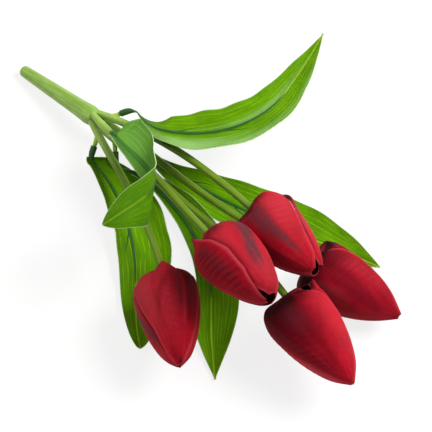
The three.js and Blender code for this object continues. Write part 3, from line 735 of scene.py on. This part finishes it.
def leaf_material(name, colours, base, deep, vein, dark, vein_share, roughness, pressed):
    """Printed leaf fabric: parallel veins, painted shade along the midrib and at the base, painted shade and sheen
    marks, and a pale margin.
    """
    made, nodes, shader = new_material(name, Specular_IOR_Level=0.03)
    _, v = nodes.map_parts("UVMap")
    main = nodes.use("long_veins", Count=11, Width=0.08, Wander=1.2)
    fine = nodes.use("long_veins", Count=41, Width=0.26, Wander=1.5)
    patches = nodes.use("soft_mottle", Scale=45, Contrast=0.25)["Value"]
    weave = nodes.use("fabric_weave", Threads=1500, Slub=0.5)
    off = nodes.fact("off")
    tint = nodes.washed(
        base,
        (patches, 0.55, deep),
        # painted shade along the midrib, and towards the leaf's base
        (nodes.fade(off, 4.5 * MM, 0.5 * MM), 0.45, deep),
        (nodes.fade(v, 0.22, 0.0), 0.4, deep),
        (fine["Line"], 0.34 * vein_share, vein),
        (main["Line"], vein_share, vein),
        (nodes.fade(off, 0.9 * MM, 0.2 * MM), 0.7 * vein_share, vein),
        # painted sheen, then painted shade, from the leaf's marks
        (nodes.fact("pale"), 0.6, colours.leaf_back_vein_and_sheen),
        (nodes.fact("dark"), 0.75, dark),
    )
    if pressed:
        band = nodes.times(nodes.fade(off, 2.6 * MM, 1.2 * MM), nodes.fade(v, 0.5, 0.35))
        tint = nodes.washed(tint, (band, 0.7, dark))
    margin = nodes.fade(nodes.fact("edge"), 0.6 * MM, 0.1 * MM)
    tint = nodes.washed(tint, (margin, 0.3, colours.leaf_edge))
    ridges = nodes.ramp(main["Height"], 1.0, nodes.times(fine["Height"], 0.5))
    height = nodes.ramp(weave["Height"], 0.25, nodes.ramp(patches, 6.0, ridges))
    dress(nodes, shader, tint, nodes.ramp(weave["Shade"], 0.15, roughness), height, 0.15 * MM)
    return made


def petal_material(name, colours, inside):
    """Red petal fabric: streaks, dyed dark claws, painted shadow in gaps and beside overlapping edges, painted
    shade and highlights, crimps with painted shade in their hollows, a painted highlight along the edges, frayed
    edges and fine ribs. Inside it is darkened with painted shade.
    """
    made, nodes, shader = new_material(
        name, Specular_IOR_Level=0.04, Sheen_Weight=0.03, Sheen_Roughness=0.5, Sheen_Tint=(1, 0.55, 0.55, 1))
    _, v = nodes.map_parts("UVMap")
    ribs = nodes.use("long_veins", Count=46, Width=0.4, Wander=1.2)
    patches = nodes.use("soft_mottle", Scale=60, Contrast=0.25)["Value"]
    cloud = nodes.use("soft_mottle", Scale=260, Contrast=0.3)["Value"]
    weave = nodes.use("fabric_weave", Threads=1900, Slub=0.7)
    edge = nodes.fact("edge")
    deep, light = colours.petal_deep, colours.petal_light
    tint = nodes.washed(
        colours.petal,
        (patches, 0.45, deep),
        (ribs["Line"], 0.18, deep),
        (cloud, 0.12, light),
        # painted highlights
        (nodes.fact("light"), 0.8, light),
        (nodes.fade(weave["Shade"], 0.5, 0.8), 0.2, light),
        # painted shade
        (nodes.fact("shade"), 0.9, deep),
        # painted shade in the crimps' hollows
        (nodes.fact("crimp"), 0.75, deep),
        # painted highlight along the petal's edges
        (nodes.fade(edge, 3 * MM, 0.3 * MM), 0.55, light),
    )
    streak = nodes.times(nodes.fact("streak"), nodes.ramp(cloud, 0.5, 0.62))
    tint = nodes.mix(nodes.calc("MINIMUM", streak, 0.95), tint, colours.petal_streak)
    threads = nodes.times(nodes.fade(edge, 1.4 * MM, 0.5 * MM), nodes.fade(weave["Shade"], 0.52, 0.6))
    tint = nodes.washed(tint, (threads, nodes.fact("fray"), colours.petal_fray))
    claw = nodes.fade(nodes.ramp(cloud, 0.05, v), 0.37, 0.24)
    # dyed claws, with the painted shadow marks and lines that the mesh keeps
    dye_and_shadow = nodes.calc("MAXIMUM", nodes.times(claw, 0.8), nodes.fact("dye_and_shadow"))
    tint = nodes.mix(nodes.calc("MINIMUM", dye_and_shadow, 0.97), tint, colours.petal_dye_and_shadow)
    # painted shade inside the head: the inner petals and the outer petals' inner faces are darkened
    if inside:
        tint = nodes.mix(0.5, tint, colours.petal_dye_and_shadow)
    height = nodes.ramp(weave["Height"], 0.35, ribs["Height"])
    dress(nodes, shader, tint, nodes.ramp(weave["Shade"], 0.2, 0.55), height, 0.14 * MM)
    return made


def edge_material(name, base, light):
    """Cut edge of a fabric, where its threads show paler."""
    made, nodes, shader = new_material(name, Specular_IOR_Level=0.2)
    threads = nodes.use("fabric_weave", Threads=1900, Slub=1.0)["Shade"]
    tint = nodes.mix(nodes.fade(threads, 0.3, 0.7), base, light)
    dress(nodes, shader, tint, nodes.ramp(threads, 0.2, 0.7))
    return made


def steel_material(colours):
    """Drawn steel wire, dull and slightly streaked."""
    made, nodes, shader = new_material("drawn_steel", Metallic=1.0)
    patches = nodes.use("soft_mottle", Scale=400, Contrast=0.3)["Value"]
    tint = nodes.washed(colours.steel, (patches, 0.4, (0.1, 0.1, 0.1, 1)))
    dress(nodes, shader, tint, nodes.ramp(patches, 0.25, 0.3))
    return made


def seen(nodes):
    """1 where the camera looks, straight or by way of something glossy or clear, and 0 for other light."""
    path = nodes.add("ShaderNodeLightPath").outputs
    by_way = nodes.calc("MAXIMUM", path["Is Glossy Ray"], path["Is Transmission Ray"])
    return nodes.calc("MAXIMUM", path["Is Camera Ray"], by_way)


def stage_material(colours):
    """Pale floor with a faint shadow of the bouquet. The camera sees it mostly white, far off all white."""
    made, nodes, shader = new_material("pale_floor", Roughness=0.9, Specular_IOR_Level=0.1)
    patches = nodes.use("soft_mottle", Scale=3, Contrast=0.4)["Value"]
    tint = nodes.washed(colours.floor, (patches, 0.02, (0.8, 0.8, 0.8, 1)))
    nodes.tree.links.new(tint, shader.inputs["Base Color"])
    white = nodes.add("ShaderNodeEmission", {"Color": (1, 1, 1, 1), "Strength": 1.0}).outputs[0]
    place = nodes.add("ShaderNodeNewGeometry").outputs["Position"]
    away = nodes.add("ShaderNodeVectorMath", {0: place}, operation="LENGTH").outputs["Value"]
    share = nodes.ramp(nodes.fade(away, *FLOOR_FADE), 1 - FLOOR_WHITE, FLOOR_WHITE)
    plain = nodes.times(seen(nodes), share)
    both = nodes.add("ShaderNodeMixShader", {0: plain, 1: shader.outputs[0], 2: white}).outputs[0]
    nodes.tree.links.new(both, nodes.tree.nodes["Material Output"].inputs["Surface"])
    return made


# Leaves

class Leaf:
    """One leaf's line, outline and curved surface."""

    def __init__(self, number, sizes):
        self.facts = SPRAYS[number - 1]["leaf"]
        self.number = number
        self.long = self.facts["length"] * MM
        self.wave = sizes.margin_wave
        start = JOINTS[f"leaf_{number}_swivel"]["pos_m"]
        angles = [self.facts.get(kind) for kind in ("heading", "pitch", "roll")]
        self.line = Line(start, self.long, LEAF_STATIONS, *angles)

    def reach(self, distance):
        """Half width of the blade."""
        share = np.clip(distance / self.long, 0, 1)
        widest = self.facts["widest"]
        rising = np.sin(np.pi / 2 * np.clip(share / widest, 0, 1)) ** self.facts["base"]
        falling = np.cos(np.pi / 2 * np.clip((share - widest) / (1 - widest), 0, 1)) ** self.facts["tip"]
        swell = np.where(share < widest, rising, falling)
        return np.maximum(BLADE_LEAST * MM, self.facts["width"] / 2 * MM * swell)

    def trim(self, kind, distance, plain):
        """A half's kept share of the half width, or the right half's sweep."""
        shares = self.facts.get(kind, [plain] * len(TRIM_STATIONS))
        return np.interp(distance / self.long, TRIM_STATIONS, shares)

    def point(self, off, distance, across=0.0):
        """Middle of the blade's thickness, at distances along it and off its midrib, as half width shares."""
        reach = self.reach(distance)
        swept = np.maximum(0, -across) * reach * self.trim("sweep", distance, 0)
        place, _, side, normal = self.line.at(distance - swept)
        turns = 2 * np.pi * distance / (WAVE_RUN * MM) + 1.7 * self.number
        wave = self.wave * np.abs(across) ** 3 * np.sin(turns + np.sign(across))
        wave = wave * smooth(distance, *[d * MM for d in WAVE_GROWTH])
        lift = self.facts["fold"] * reach * off ** 2 + wave * np.minimum(1, reach / (WAVE_REACH * MM))
        return place + side * (off * reach)[..., None] + normal * lift[..., None]

    def blade(self, rows, columns):
        """A grid of points over the blade: shares across, distances along, places off and kept shares."""
        first = BLADE_START * MM
        distance = first + (self.long - first) * np.linspace(0, 1, rows) ** 1.15
        across, distance = np.meshgrid(np.linspace(-1, 1, columns), distance)
        kept = np.where(across < 0, self.trim("right", distance, 1), self.trim("left", distance, 1))
        off = across * kept + self.facts["lean"]
        return self.point(off, distance, across), across, distance, off, kept

    def face(self, off, distance, rise):
        """Points a little above the glossy face, with the surface's normals there."""
        near = 0.002
        step = near * self.long
        ahead = self.point(off, distance + step) - self.point(off, distance - step)
        beside = self.point(off + near, distance) - self.point(off - near, distance)
        normal = unit(np.cross(ahead, beside))
        return self.point(off, distance) + normal * rise, normal


def ridge(leaf, off, distance, widths, heights, rise):
    """A half-round ridge on a leaf's face along a run of points: points, faces and maps."""
    base, normal = leaf.face(off, distance, rise)
    side = np.cross(normal, unit(np.gradient(base, axis=0)))
    angles = ring_angles(RIB_SIDES)
    rings = []
    for i in range(len(base)):
        wide = np.cos(angles) * widths[i] / 2
        high = np.where(np.sin(angles) > 0, np.sin(angles), 0.15 * np.sin(angles)) * heights[i]
        rings.append(base[i] + wide[:, None] * side[i] + high[:, None] * normal[i])
    _, faces, maps = tube(list(zip(base, side, normal, widths / 2)), RIB_SIDES)
    return np.concatenate(rings), faces, maps


# Flower heads

def petal_edges(name):
    """Half spreads of a petal's minus and plus sides. An inner petal has no name here."""
    plain = CLOSED_EDGE if name[:1] in CLOSED_HEADS else PLAIN_EDGE
    return EDGES.get(name, (plain, plain))


def lap(name):
    """Whether a petal's minus and plus sides lie on top of its neighbours (1) or under them (-1)."""
    return ON_TOP.get(name, (1, -1))


def bud_outline(share, sizes, number):
    """Radius and height of a bud's outline and its outward normal, at shares of its run."""
    scale = SPRAYS[number - 1]["bud"]
    profile = [(r * scale * sizes.bud_radius, h * scale * sizes.bud_length) for r, h in BUD_PROFILE]
    knots = np.array([CLAW, *profile])
    close, reach = TIPS[number - 1][:2]
    knots[-1] = knots[-1, 0] * close, knots[-1, 1] + reach * MM

    def place(t):
        run = np.clip(t, 0, 1) * (len(knots) - 1)
        i = np.minimum(run.astype(int), len(knots) - 2)
        w = (run - i)[..., None]
        before, this = knots[np.maximum(i - 1, 0)], knots[i]
        after, beyond = knots[i + 1], knots[np.minimum(i + 2, len(knots) - 1)]
        leave, arrive = (after - before) / 2, (beyond - this) / 2
        return ((2 * this - 2 * after + leave + arrive) * w ** 3
                + (3 * after - 3 * this - 2 * leave - arrive) * w ** 2 + leave * w + this)

    near = 1e-4
    slope = unit(place(share + near) - place(share - near))
    return place(share), np.stack([slope[..., 1], -slope[..., 0]], -1)


def spot(across, share, x, s, wide, long):
    """A soft mask about a place on a sheet, fuller across it than along it."""
    return np.exp(-((across - x) / wide) ** 4 - ((share - s) / long) ** 2)


def lane(across, share, x0, s0, x1, s1, wide, power):
    """A mask along a line between two places on a petal, soft at its ends."""
    t = np.clip((share - s0) / (s1 - s0), 0, 1)
    ends = smooth(share, s0 - 0.08, s0 + 0.03) * smooth(share, s1 + 0.06, s1 - 0.1)
    return ends * np.exp(-np.abs((across - x0 - (x1 - x0) * t) / wide) ** power)


class Petal:
    """One petal's cut, curved surface and painted masks. It is shaped about +Z with its middle at +X."""

    def __init__(self, sizes, number, letter, outer):
        self.sizes = sizes
        self.number = number
        self.outer = outer
        self.order = LETTERS.index(letter)
        self.name = f"{number}{letter}" if outer else ""
        self.seed = 3 * number + self.order + (0 if outer else 20)
        rows, columns = OUTER_GRID if outer else INNER_GRID
        self.across, self.run = np.meshgrid(np.linspace(1, -1, columns), np.linspace(0, 1, rows))
        self.share = self.run if outer else INNER_REACH * self.run
        minus, plus = [np.interp(self.run, EDGE_STATIONS, edge) for edge in petal_edges(self.name)]
        self.angle = self.across * np.radians(np.where(self.across < 0, minus, plus))
        self.crimp = self.strokes() if outer else 0 * self.share

    def strokes(self):
        """Slanted strokes pressed in a band along the petal, and raised between."""
        turns = CRIMP_COUNT * self.share + CRIMP_SLANT * self.across
        strokes = np.sin(2 * np.pi * turns + self.seed) + 0.4 * np.sin(4 * np.pi * turns + self.seed + 0.8)
        x, wide, strength = CRIMPS.get(self.name, PLAIN_CRIMP)
        band = np.exp(-((self.across - x) / wide) ** 2)
        return strength * strokes * (band * smooth(self.share, 0.36, 0.44) * smooth(self.share, 0.88, 0.7))

    def surface(self):
        """Middle of the petal's thickness, with its laps, shoulder folds, crimps, long folds and swells."""
        across, share, sizes = self.across, self.share, self.sizes
        opening = smooth(share, 0.1, 0.45)
        level = np.abs(across) ** 1.4 * np.where(across < 0, *lap(self.name))
        offset = (0 if self.outer else -sizes.whorl_gap) + level * sizes.edge_step * opening
        drop = 0 * share
        for x, s, wide, long, rise, out in PEAKS.get(self.name, ()):
            fold = np.maximum(0, 1 - np.abs(across - x) / wide) ** 1.3 * np.exp(-((share - s) / long) ** 2)
            drop = drop + rise * MM * fold
            offset = offset + out * MM * fold
        offset = offset + sizes.crimp * self.crimp
        for *where, high in FOLDS.get(self.name, ()):
            offset = offset + high * MM * lane(across, share, *where, 2)
        ripple = np.sin(2 * np.pi * 3.5 * across + 1.3 * self.seed + 2 * share) * RIPPLE * MM * opening
        swell = np.sin(3.1 * across + 4.3 * share + 1.9 * self.seed) * SWELL * MM * opening
        swell = swell * (1 - self.run ** 4)
        offset = offset + (ripple + swell) * (1 - across ** 4)
        outline, outward = bud_outline(share, sizes, self.number)
        radius = np.maximum(0.3 * MM, outline[..., 0] + outward[..., 0] * offset)
        height = outline[..., 1] + outward[..., 1] * offset - drop
        return np.stack([radius * np.cos(self.angle), radius * np.sin(self.angle), height], -1)

    def placed(self):
        """The surface turned to its place in the head, leaned at its tip and carried to its stem."""
        axes, origin = head_matrix(self.number)
        turn = math.radians((0 if self.outer else 60) + 120 * self.order)
        c, s = math.cos(turn), math.sin(turn)
        spun = self.surface() @ np.array(((c, s, 0), (-s, c, 0), (0, 0, 1)))
        _, _, aside, toward = TIPS[self.number - 1]
        lean = aside * MM * smooth(self.run, 0.5, 1.05)
        spun[..., 0] += lean * math.cos(math.radians(toward))
        spun[..., 1] += lean * math.sin(math.radians(toward))
        return spun @ axes.T + origin

    def edge_shadows(self):
        """Painted shadow lines beside the edges of the neighbours that lie on top."""
        lines = 0 * self.share
        for side, facing, step in ((1, 0, 1), (-1, 1, 2)):
            other = f"{self.number}{LETTERS[(self.order + step) % 3]}"
            if lap(other)[facing] > 0:
                reach = np.interp(self.run, EDGE_STATIONS, petal_edges(other)[facing])
                gap = np.degrees(self.angle) * side - (120 - reach)
                lines = np.maximum(lines, np.exp(-((gap + 2.5) / 4.5) ** 2))
        return (0.5 if self.name in FAINT_EDGE_SHADOWS else 0.9) * lines * smooth(self.share, 0.3, 0.4)

    def masks(self):
        """Painted masks over the petal, by name."""
        across, share = self.across, self.share
        masks = {mask: 0 * share for mask in PAINTS}
        frayed = (across < 0) * smooth(share, 0.38, 0.43) * smooth(share, 0.66, 0.52)
        # the crimp mask is painted shade in the hollows of the crimps
        masks.update(crimp=np.clip(-self.crimp, 0, 1), fray=FRAYS.get(self.name, 0) * frayed)
        if self.outer:
            for mask, (table, plain) in PAINTS.items():
                for *where, strength in table.get(self.name, plain):
                    mark = spot(across, share, *where) if len(where) == 4 else lane(across, share, *where, 4)
                    masks[mask] = np.maximum(masks[mask], strength * mark)
            # painted shadow lines beside the edges of the petals on top
            masks["dye_and_shadow"] = np.maximum(masks["dye_and_shadow"], self.edge_shadows())
        return masks


def head_matrix(number):
    """Place of a flower head: its columns are the head's axes, and the joint's place is its origin."""
    line = stem_line(number)
    _, tangent, side, normal = line.at([line.long])
    turn = math.radians(SPRAYS[number - 1]["turn"])
    x = side[0] * math.cos(turn) + normal[0] * math.sin(turn)
    y = normal[0] * math.cos(turn) - side[0] * math.sin(turn)
    return np.stack([x, y, tangent[0]], -1), np.array(JOINTS[f"flower_{number}_twist"]["pos_m"])


# Operators

def fit(piece, body, node):
    """Put a piece in the place of its solid and on the body that it rides on."""
    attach(piece, body)
    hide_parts(node)


class BOUQUET_OT_stage(bpy.types.Operator):
    """Lay the pale floor, hang the soft lights and set the camera"""

    bl_idname = "bouquet.stage"
    bl_label = "Stage"

    def execute(self, context):
        scene = context.scene
        scene.view_settings.view_transform = "Standard"
        corners = [(x * FLOOR_HALF, y * FLOOR_HALF, 0) for x, y in ((-1, -1), (1, -1), (1, 1), (-1, 1))]
        floor = mesh_object("floor", corners, [(0, 1, 2, 3)], {}, [stage_material(scene.bouquet_colours)])
        floor.location.z = -FLOOR_DROP

        world = bpy.data.worlds.new("soft_room")
        world.use_nodes = True
        sky = world.node_tree.nodes["Background"]
        sky.inputs["Color"].default_value = (1, 1, 1, 1)
        nodes = Nodes(world.node_tree)
        strength = nodes.ramp(seen(nodes), 1 - ROOM_LIGHT, ROOM_LIGHT)
        world.node_tree.links.new(strength, sky.inputs["Strength"])
        scene.world = world
        for name, (place, size, power) in LAMPS.items():
            lamp = bpy.data.lights.new(name, "AREA")
            lamp.size = size
            lamp.energy = power
            made = bpy.data.objects.new(name, lamp)
            made.location = place
            made.rotation_euler = (-Vector(place)).to_track_quat("-Z", "Y").to_euler()
            scene.collection.objects.link(made)

        camera = bpy.data.cameras.new("camera")
        camera.sensor_width = SENSOR
        camera.lens = LENS
        camera.clip_start, camera.clip_end = CAMERA_CLIP
        made = bpy.data.objects.new("camera", camera)
        azimuth, elevation = math.radians(AZIMUTH), math.radians(ELEVATION)
        back = Vector((math.sin(azimuth) * math.cos(elevation), -math.cos(azimuth) * math.cos(elevation),
                       math.sin(elevation)))
        made.location = Vector(LOOK_AT) * MM + back * CAMERA_DISTANCE
        made.rotation_mode = "QUATERNION"
        made.rotation_quaternion = (-back).to_track_quat("-Z", "Y")
        scene.collection.objects.link(made)
        scene.camera = made
        return {"FINISHED"}


class BOUQUET_OT_trunk(bpy.types.Operator):
    """Build the fluted trunk with its rounded butt and domed crown"""

    bl_idname = "bouquet.trunk"
    bl_label = "Trunk"

    def execute(self, context):
        colours = context.scene.bouquet_colours
        butt = frame["record"]["mounts"][0]
        start, out = np.array(butt["pos_m"]), -np.array(butt["axis"])
        side = np.array((0.0, 1.0, 0.0))
        normal = np.cross(out, side)
        knots = np.array(TRUNK_OUTLINE) * MM
        run = np.concatenate([np.linspace(*stretch) for stretch in TRUNK_RINGS]) * MM
        angles = ring_angles(TRUNK_SIDES)
        flutes = sum(np.cos(count * angles + turn) * depth * MM for count, turn, depth in FLUTES)
        rings = []
        for d, r in zip(run, np.interp(run, knots[:, 0], knots[:, 1])):
            fluted = r + flutes * min(1, d / (FLUTE_START * MM)) * r / (FLUTE_RADIUS * MM)
            rings.append((start + out * d, side, normal, fluted))
        pale = moulded_material("pale_trunk", colours.trunk, colours.trunk_streak, sheen=colours.trunk_sheen)
        trunk = mesh_object("trunk_stalk", *tube(rings, TRUNK_SIDES), [pale])
        fit(trunk, "trunk", "trunk")
        return {"FINISHED"}


class BOUQUET_OT_stems(bpy.types.Operator):
    """Build the five stems, each with its leaf peg and the nub in its flower"""

    bl_idname = "bouquet.stems"
    bl_label = "Stems"

    def execute(self, context):
        sizes, colours = context.scene.bouquet_sizes, context.scene.bouquet_colours
        olive = moulded_material("olive_stem", colours.stem, colours.leaf_deep, colours.stem_root)
        lime = moulded_material("lime_peg", colours.peg, colours.stem_root)
        peg_stations = [(d * MM, sizes.peg_foot * r) for d, r in PEG_FOOT]
        peg_stations += [(d * MM, sizes.peg_radius * r) for d, r in PEG_END]
        peg_faces = STEM_SIDES * (len(peg_stations) - 1) + 2
        for number, spray in enumerate(SPRAYS, 1):
            line = stem_line(number)
            stations = [(-STEM_TAIL * MM, sizes.stem_root * 0.8), (0, sizes.stem_root)]
            for t in np.linspace(0, 1, STEM_RINGS):
                radius = sizes.stem_radius + (sizes.stem_tip - sizes.stem_radius) * t
                stations.append((ROOT_RUN * MM + (line.long - ROOT_RUN * MM) * t, radius))
            stations += [(line.long + d * MM, r * MM) for d, r in NUB]
            stem = mesh_object(f"stem_shaft_{number}", *along(line, stations, STEM_SIDES), [olive, lime])
            heading, pitch = spray["leaf"]["heading"][0], spray["leaf"]["pitch"][0]
            foot = line.at([spray["peg"] * MM])[0][0]
            peg_line = Line(foot, PEG_END[-1][0] * MM, (0, 1), (heading, heading), (pitch, pitch))
            peg = mesh_object(f"peg_{number}", *along(peg_line, peg_stations, STEM_SIDES), [olive, lime],
                              face_materials=np.ones(peg_faces))
            union = stem.modifiers.new("peg", "BOOLEAN")
            union.operation = "UNION"
            union.solver = "EXACT"
            union.object = peg
            whole = bpy.data.meshes.new_from_object(stem.evaluated_get(context.evaluated_depsgraph_get()))
            stem.modifiers.remove(union)
            stem.data = whole
            bpy.data.objects.remove(peg)
            root, ahead = line.at([d * MM for d in BEND_RUN])[0]
            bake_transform(stem)
            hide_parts(f"stem_{number}")
        return {"FINISHED"}


class BOUQUET_OT_leaf_ribs(bpy.types.Operator):
    """Build the moulded sleeve, midrib and side veins of each leaf"""

    bl_idname = "bouquet.leaf_ribs"
    bl_label = "Leaf ribs"

    def execute(self, context):
        sizes, colours = context.scene.bouquet_sizes, context.scene.bouquet_colours
        dark = moulded_material("dark_rib", colours.rib, colours.leaf_deep, roughness=0.38)
        outer, bore = sizes.sleeve_radius, sizes.peg_radius + SLEEVE_PLAY * MM
        end, tip = [(d * MM, r * MM) for d, r in (SLEEVE_END, SLEEVE_TIP)]
        sleeve = [end, (end[0], bore), (-SLEEVE_RUN * MM, bore)]
        sleeve += [(d * MM, outer * r) for d, r in SLEEVE_OUTSIDE] + [tip]
        rise = sizes.blade_thickness / 2 - RIB_SINK * MM
        for number in NUMBERS:
            leaf = Leaf(number, sizes)
            run = np.linspace(RIB_START * MM, RIB_TAPER[0][-1] * leaf.long, RIB_RINGS)
            taper = np.interp(run / leaf.long, *RIB_TAPER)
            taper[-len(RIB_LAST):] *= RIB_LAST
            midrib = ridge(leaf, 0 * run, run, taper * sizes.rib_width, taper * sizes.rib_height, rise)
            parts = [along(leaf.line, sleeve, SLEEVE_SIDES), midrib]
            for start, hand in SIDE_VEINS:
                t = np.linspace(0, 1, VEIN_RINGS)
                distance = start * leaf.long + VEIN_RUN * MM * t
                off = hand * VEIN_SPREAD * MM * t ** 0.8 / leaf.reach(distance)
                thin = np.linspace(*VEIN_TAPER, VEIN_RINGS)
                wide, high = thin * VEIN_WIDTH * MM, thin * VEIN_HEIGHT * MM
                parts.append(ridge(leaf, off, distance, wide, high, rise))
            rib = mesh_object(f"leaf_midrib_{number}", *joined(parts), [dark])
            fit(rib, f"leaf_{number}", f"leaf_rib_{number}")
        return {"FINISHED"}


class BOUQUET_OT_leaf_blades(bpy.types.Operator):
    """Build the five printed fabric blades"""

    bl_idname = "bouquet.leaf_blades"
    bl_label = "Leaf blades"

    def execute(self, context):
        sizes, colours = context.scene.bouquet_sizes, context.scene.bouquet_colours
        face = leaf_material("leaf_face", colours, colours.leaf, colours.leaf_deep, colours.leaf_vein,
                             colours.leaf_painted_shade, vein_share=0.72, roughness=0.36, pressed=False)
        back = leaf_material("leaf_back", colours, colours.leaf_back, colours.leaf, colours.leaf_back_vein_and_sheen,
                             colours.rib, vein_share=0.45, roughness=0.6, pressed=True)
        rim = edge_material("leaf_cut_edge", colours.leaf_vein, colours.leaf_edge)
        for number in NUMBERS:
            leaf = Leaf(number, sizes)
            middle, across, distance, off, kept = leaf.blade(*BLADE_GRID)
            reach = leaf.reach(distance)
            along_share = distance / leaf.long
            share = np.stack([(across + 1) / 2, along_share], -1)
            cloth = np.stack([off * reach, distance], -1)
            edge = np.minimum((1 - np.abs(across)) * reach * kept, leaf.long - distance)
            facts = {"edge": edge, "off": np.abs(off) * reach, "dark": 0 * across, "pale": 0 * across}
            # painted shade and painted sheen marks
            for kind, *where, strength in LEAF_MARKS.get(number, ()):
                facts[kind] = np.maximum(facts[kind], strength * spot(across, along_share, *where))
            blade = sheet_object(f"leaf_sheet_{number}", middle, sizes.blade_thickness, share, cloth,
                                 [face, back, rim], facts)
            fit(blade, f"leaf_{number}", f"leaf_blade_{number}")
        return {"FINISHED"}


class BOUQUET_OT_petals(bpy.types.Operator):
    """Build the outer and inner petals of the five flower heads"""

    bl_idname = "bouquet.petals"
    bl_label = "Petals"

    def execute(self, context):
        sizes, colours = context.scene.bouquet_sizes, context.scene.bouquet_colours
        outside = petal_material("petal_outside", colours, False)
        inside = petal_material("petal_inside", colours, True)
        rim = edge_material("petal_cut_edge", colours.petal_deep, colours.petal_light)
        finishes = {"outer": [outside, inside, rim], "inner": [inside, inside, rim]}
        for number, kind, letter in itertools.product(NUMBERS, finishes, LETTERS):
            cut = Petal(sizes, number, letter, kind == "outer")
            middle, across, run = cut.placed(), cut.across, cut.run
            wide, long, area = cut_size(middle)
            share = np.stack([(across + 1) / 2, run], -1)
            width = np.linalg.norm(np.diff(middle, axis=1), axis=-1).sum(1)[:, None]
            cloth = np.stack([across * width / 2, run * long], -1)
            edge = np.minimum((1 - np.abs(across)) * width / 2, (1 - run) * long)
            name = f"{number}{letter}"
            petal = sheet_object(f"{kind}_petal_sheet_{name}", middle, sizes.petal_thickness, share, cloth,
                                 finishes[kind], {"edge": edge, **cut.masks()})
            fit(petal, f"flower_{number}", f"{kind}_petal_{name}")
        return {"FINISHED"}


class BOUQUET_OT_hidden_pieces(bpy.types.Operator):
    """Finish the flower seats and the wires, which stay as they are"""

    bl_idname = "bouquet.hidden_pieces"
    bl_label = "Seats and wires"

    def execute(self, context):
        colours = context.scene.bouquet_colours
        finishes = {
            "wire": steel_material(colours),
            "seat": moulded_material("seat_plastic", colours.stem_root, colours.stem),
        }
        for name, node in frame["nodes"].items():
            for kind, finish in finishes.items():
                if kind in name:
                    node.data.materials.clear()
                    node.data.materials.append(finish)
        return {"FINISHED"}


OPERATORS = (
    BOUQUET_OT_stage,
    BOUQUET_OT_trunk,
    BOUQUET_OT_stems,
    BOUQUET_OT_leaf_ribs,
    BOUQUET_OT_leaf_blades,
    BOUQUET_OT_petals,
    BOUQUET_OT_hidden_pieces,
)


class BOUQUET_PT_pieces(bpy.types.Panel):
    """Buttons for the bouquet's pieces, and its sizes and colours"""

    bl_idname = "BOUQUET_PT_pieces"
    bl_label = "Bouquet"
    bl_space_type = "VIEW_3D"
    bl_region_type = "UI"
    bl_category = "Bouquet"

    def draw(self, context):
        for operator in OPERATORS:
            self.layout.operator(operator.bl_idname)
        for settings in (context.scene.bouquet_sizes, context.scene.bouquet_colours):
            box = self.layout.box()
            for name in settings.bl_rna.properties.keys():
                if name not in ("rna_type", "name"):
                    box.prop(settings, name)


CLASSES = (BouquetSizes, BouquetColours, *OPERATORS, BOUQUET_PT_pieces)


def register():
    for kind in CLASSES:
        bpy.utils.register_class(kind)
    bpy.types.Scene.bouquet_sizes = bpy.props.PointerProperty(type=BouquetSizes)
    bpy.types.Scene.bouquet_colours = bpy.props.PointerProperty(type=BouquetColours)


def unregister():
    del bpy.types.Scene.bouquet_colours
    del bpy.types.Scene.bouquet_sizes
    for kind in reversed(CLASSES):
        bpy.utils.unregister_class(kind)


def main():
    register()
    bpy.ops.bouquet.stage()
    bpy.ops.bouquet.trunk()
    bpy.ops.bouquet.stems()
    bpy.ops.bouquet.leaf_ribs()
    bpy.ops.bouquet.leaf_blades()
    bpy.ops.bouquet.petals()
    bpy.ops.bouquet.hidden_pieces()
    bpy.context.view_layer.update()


if __name__ == "__main__":
    main()
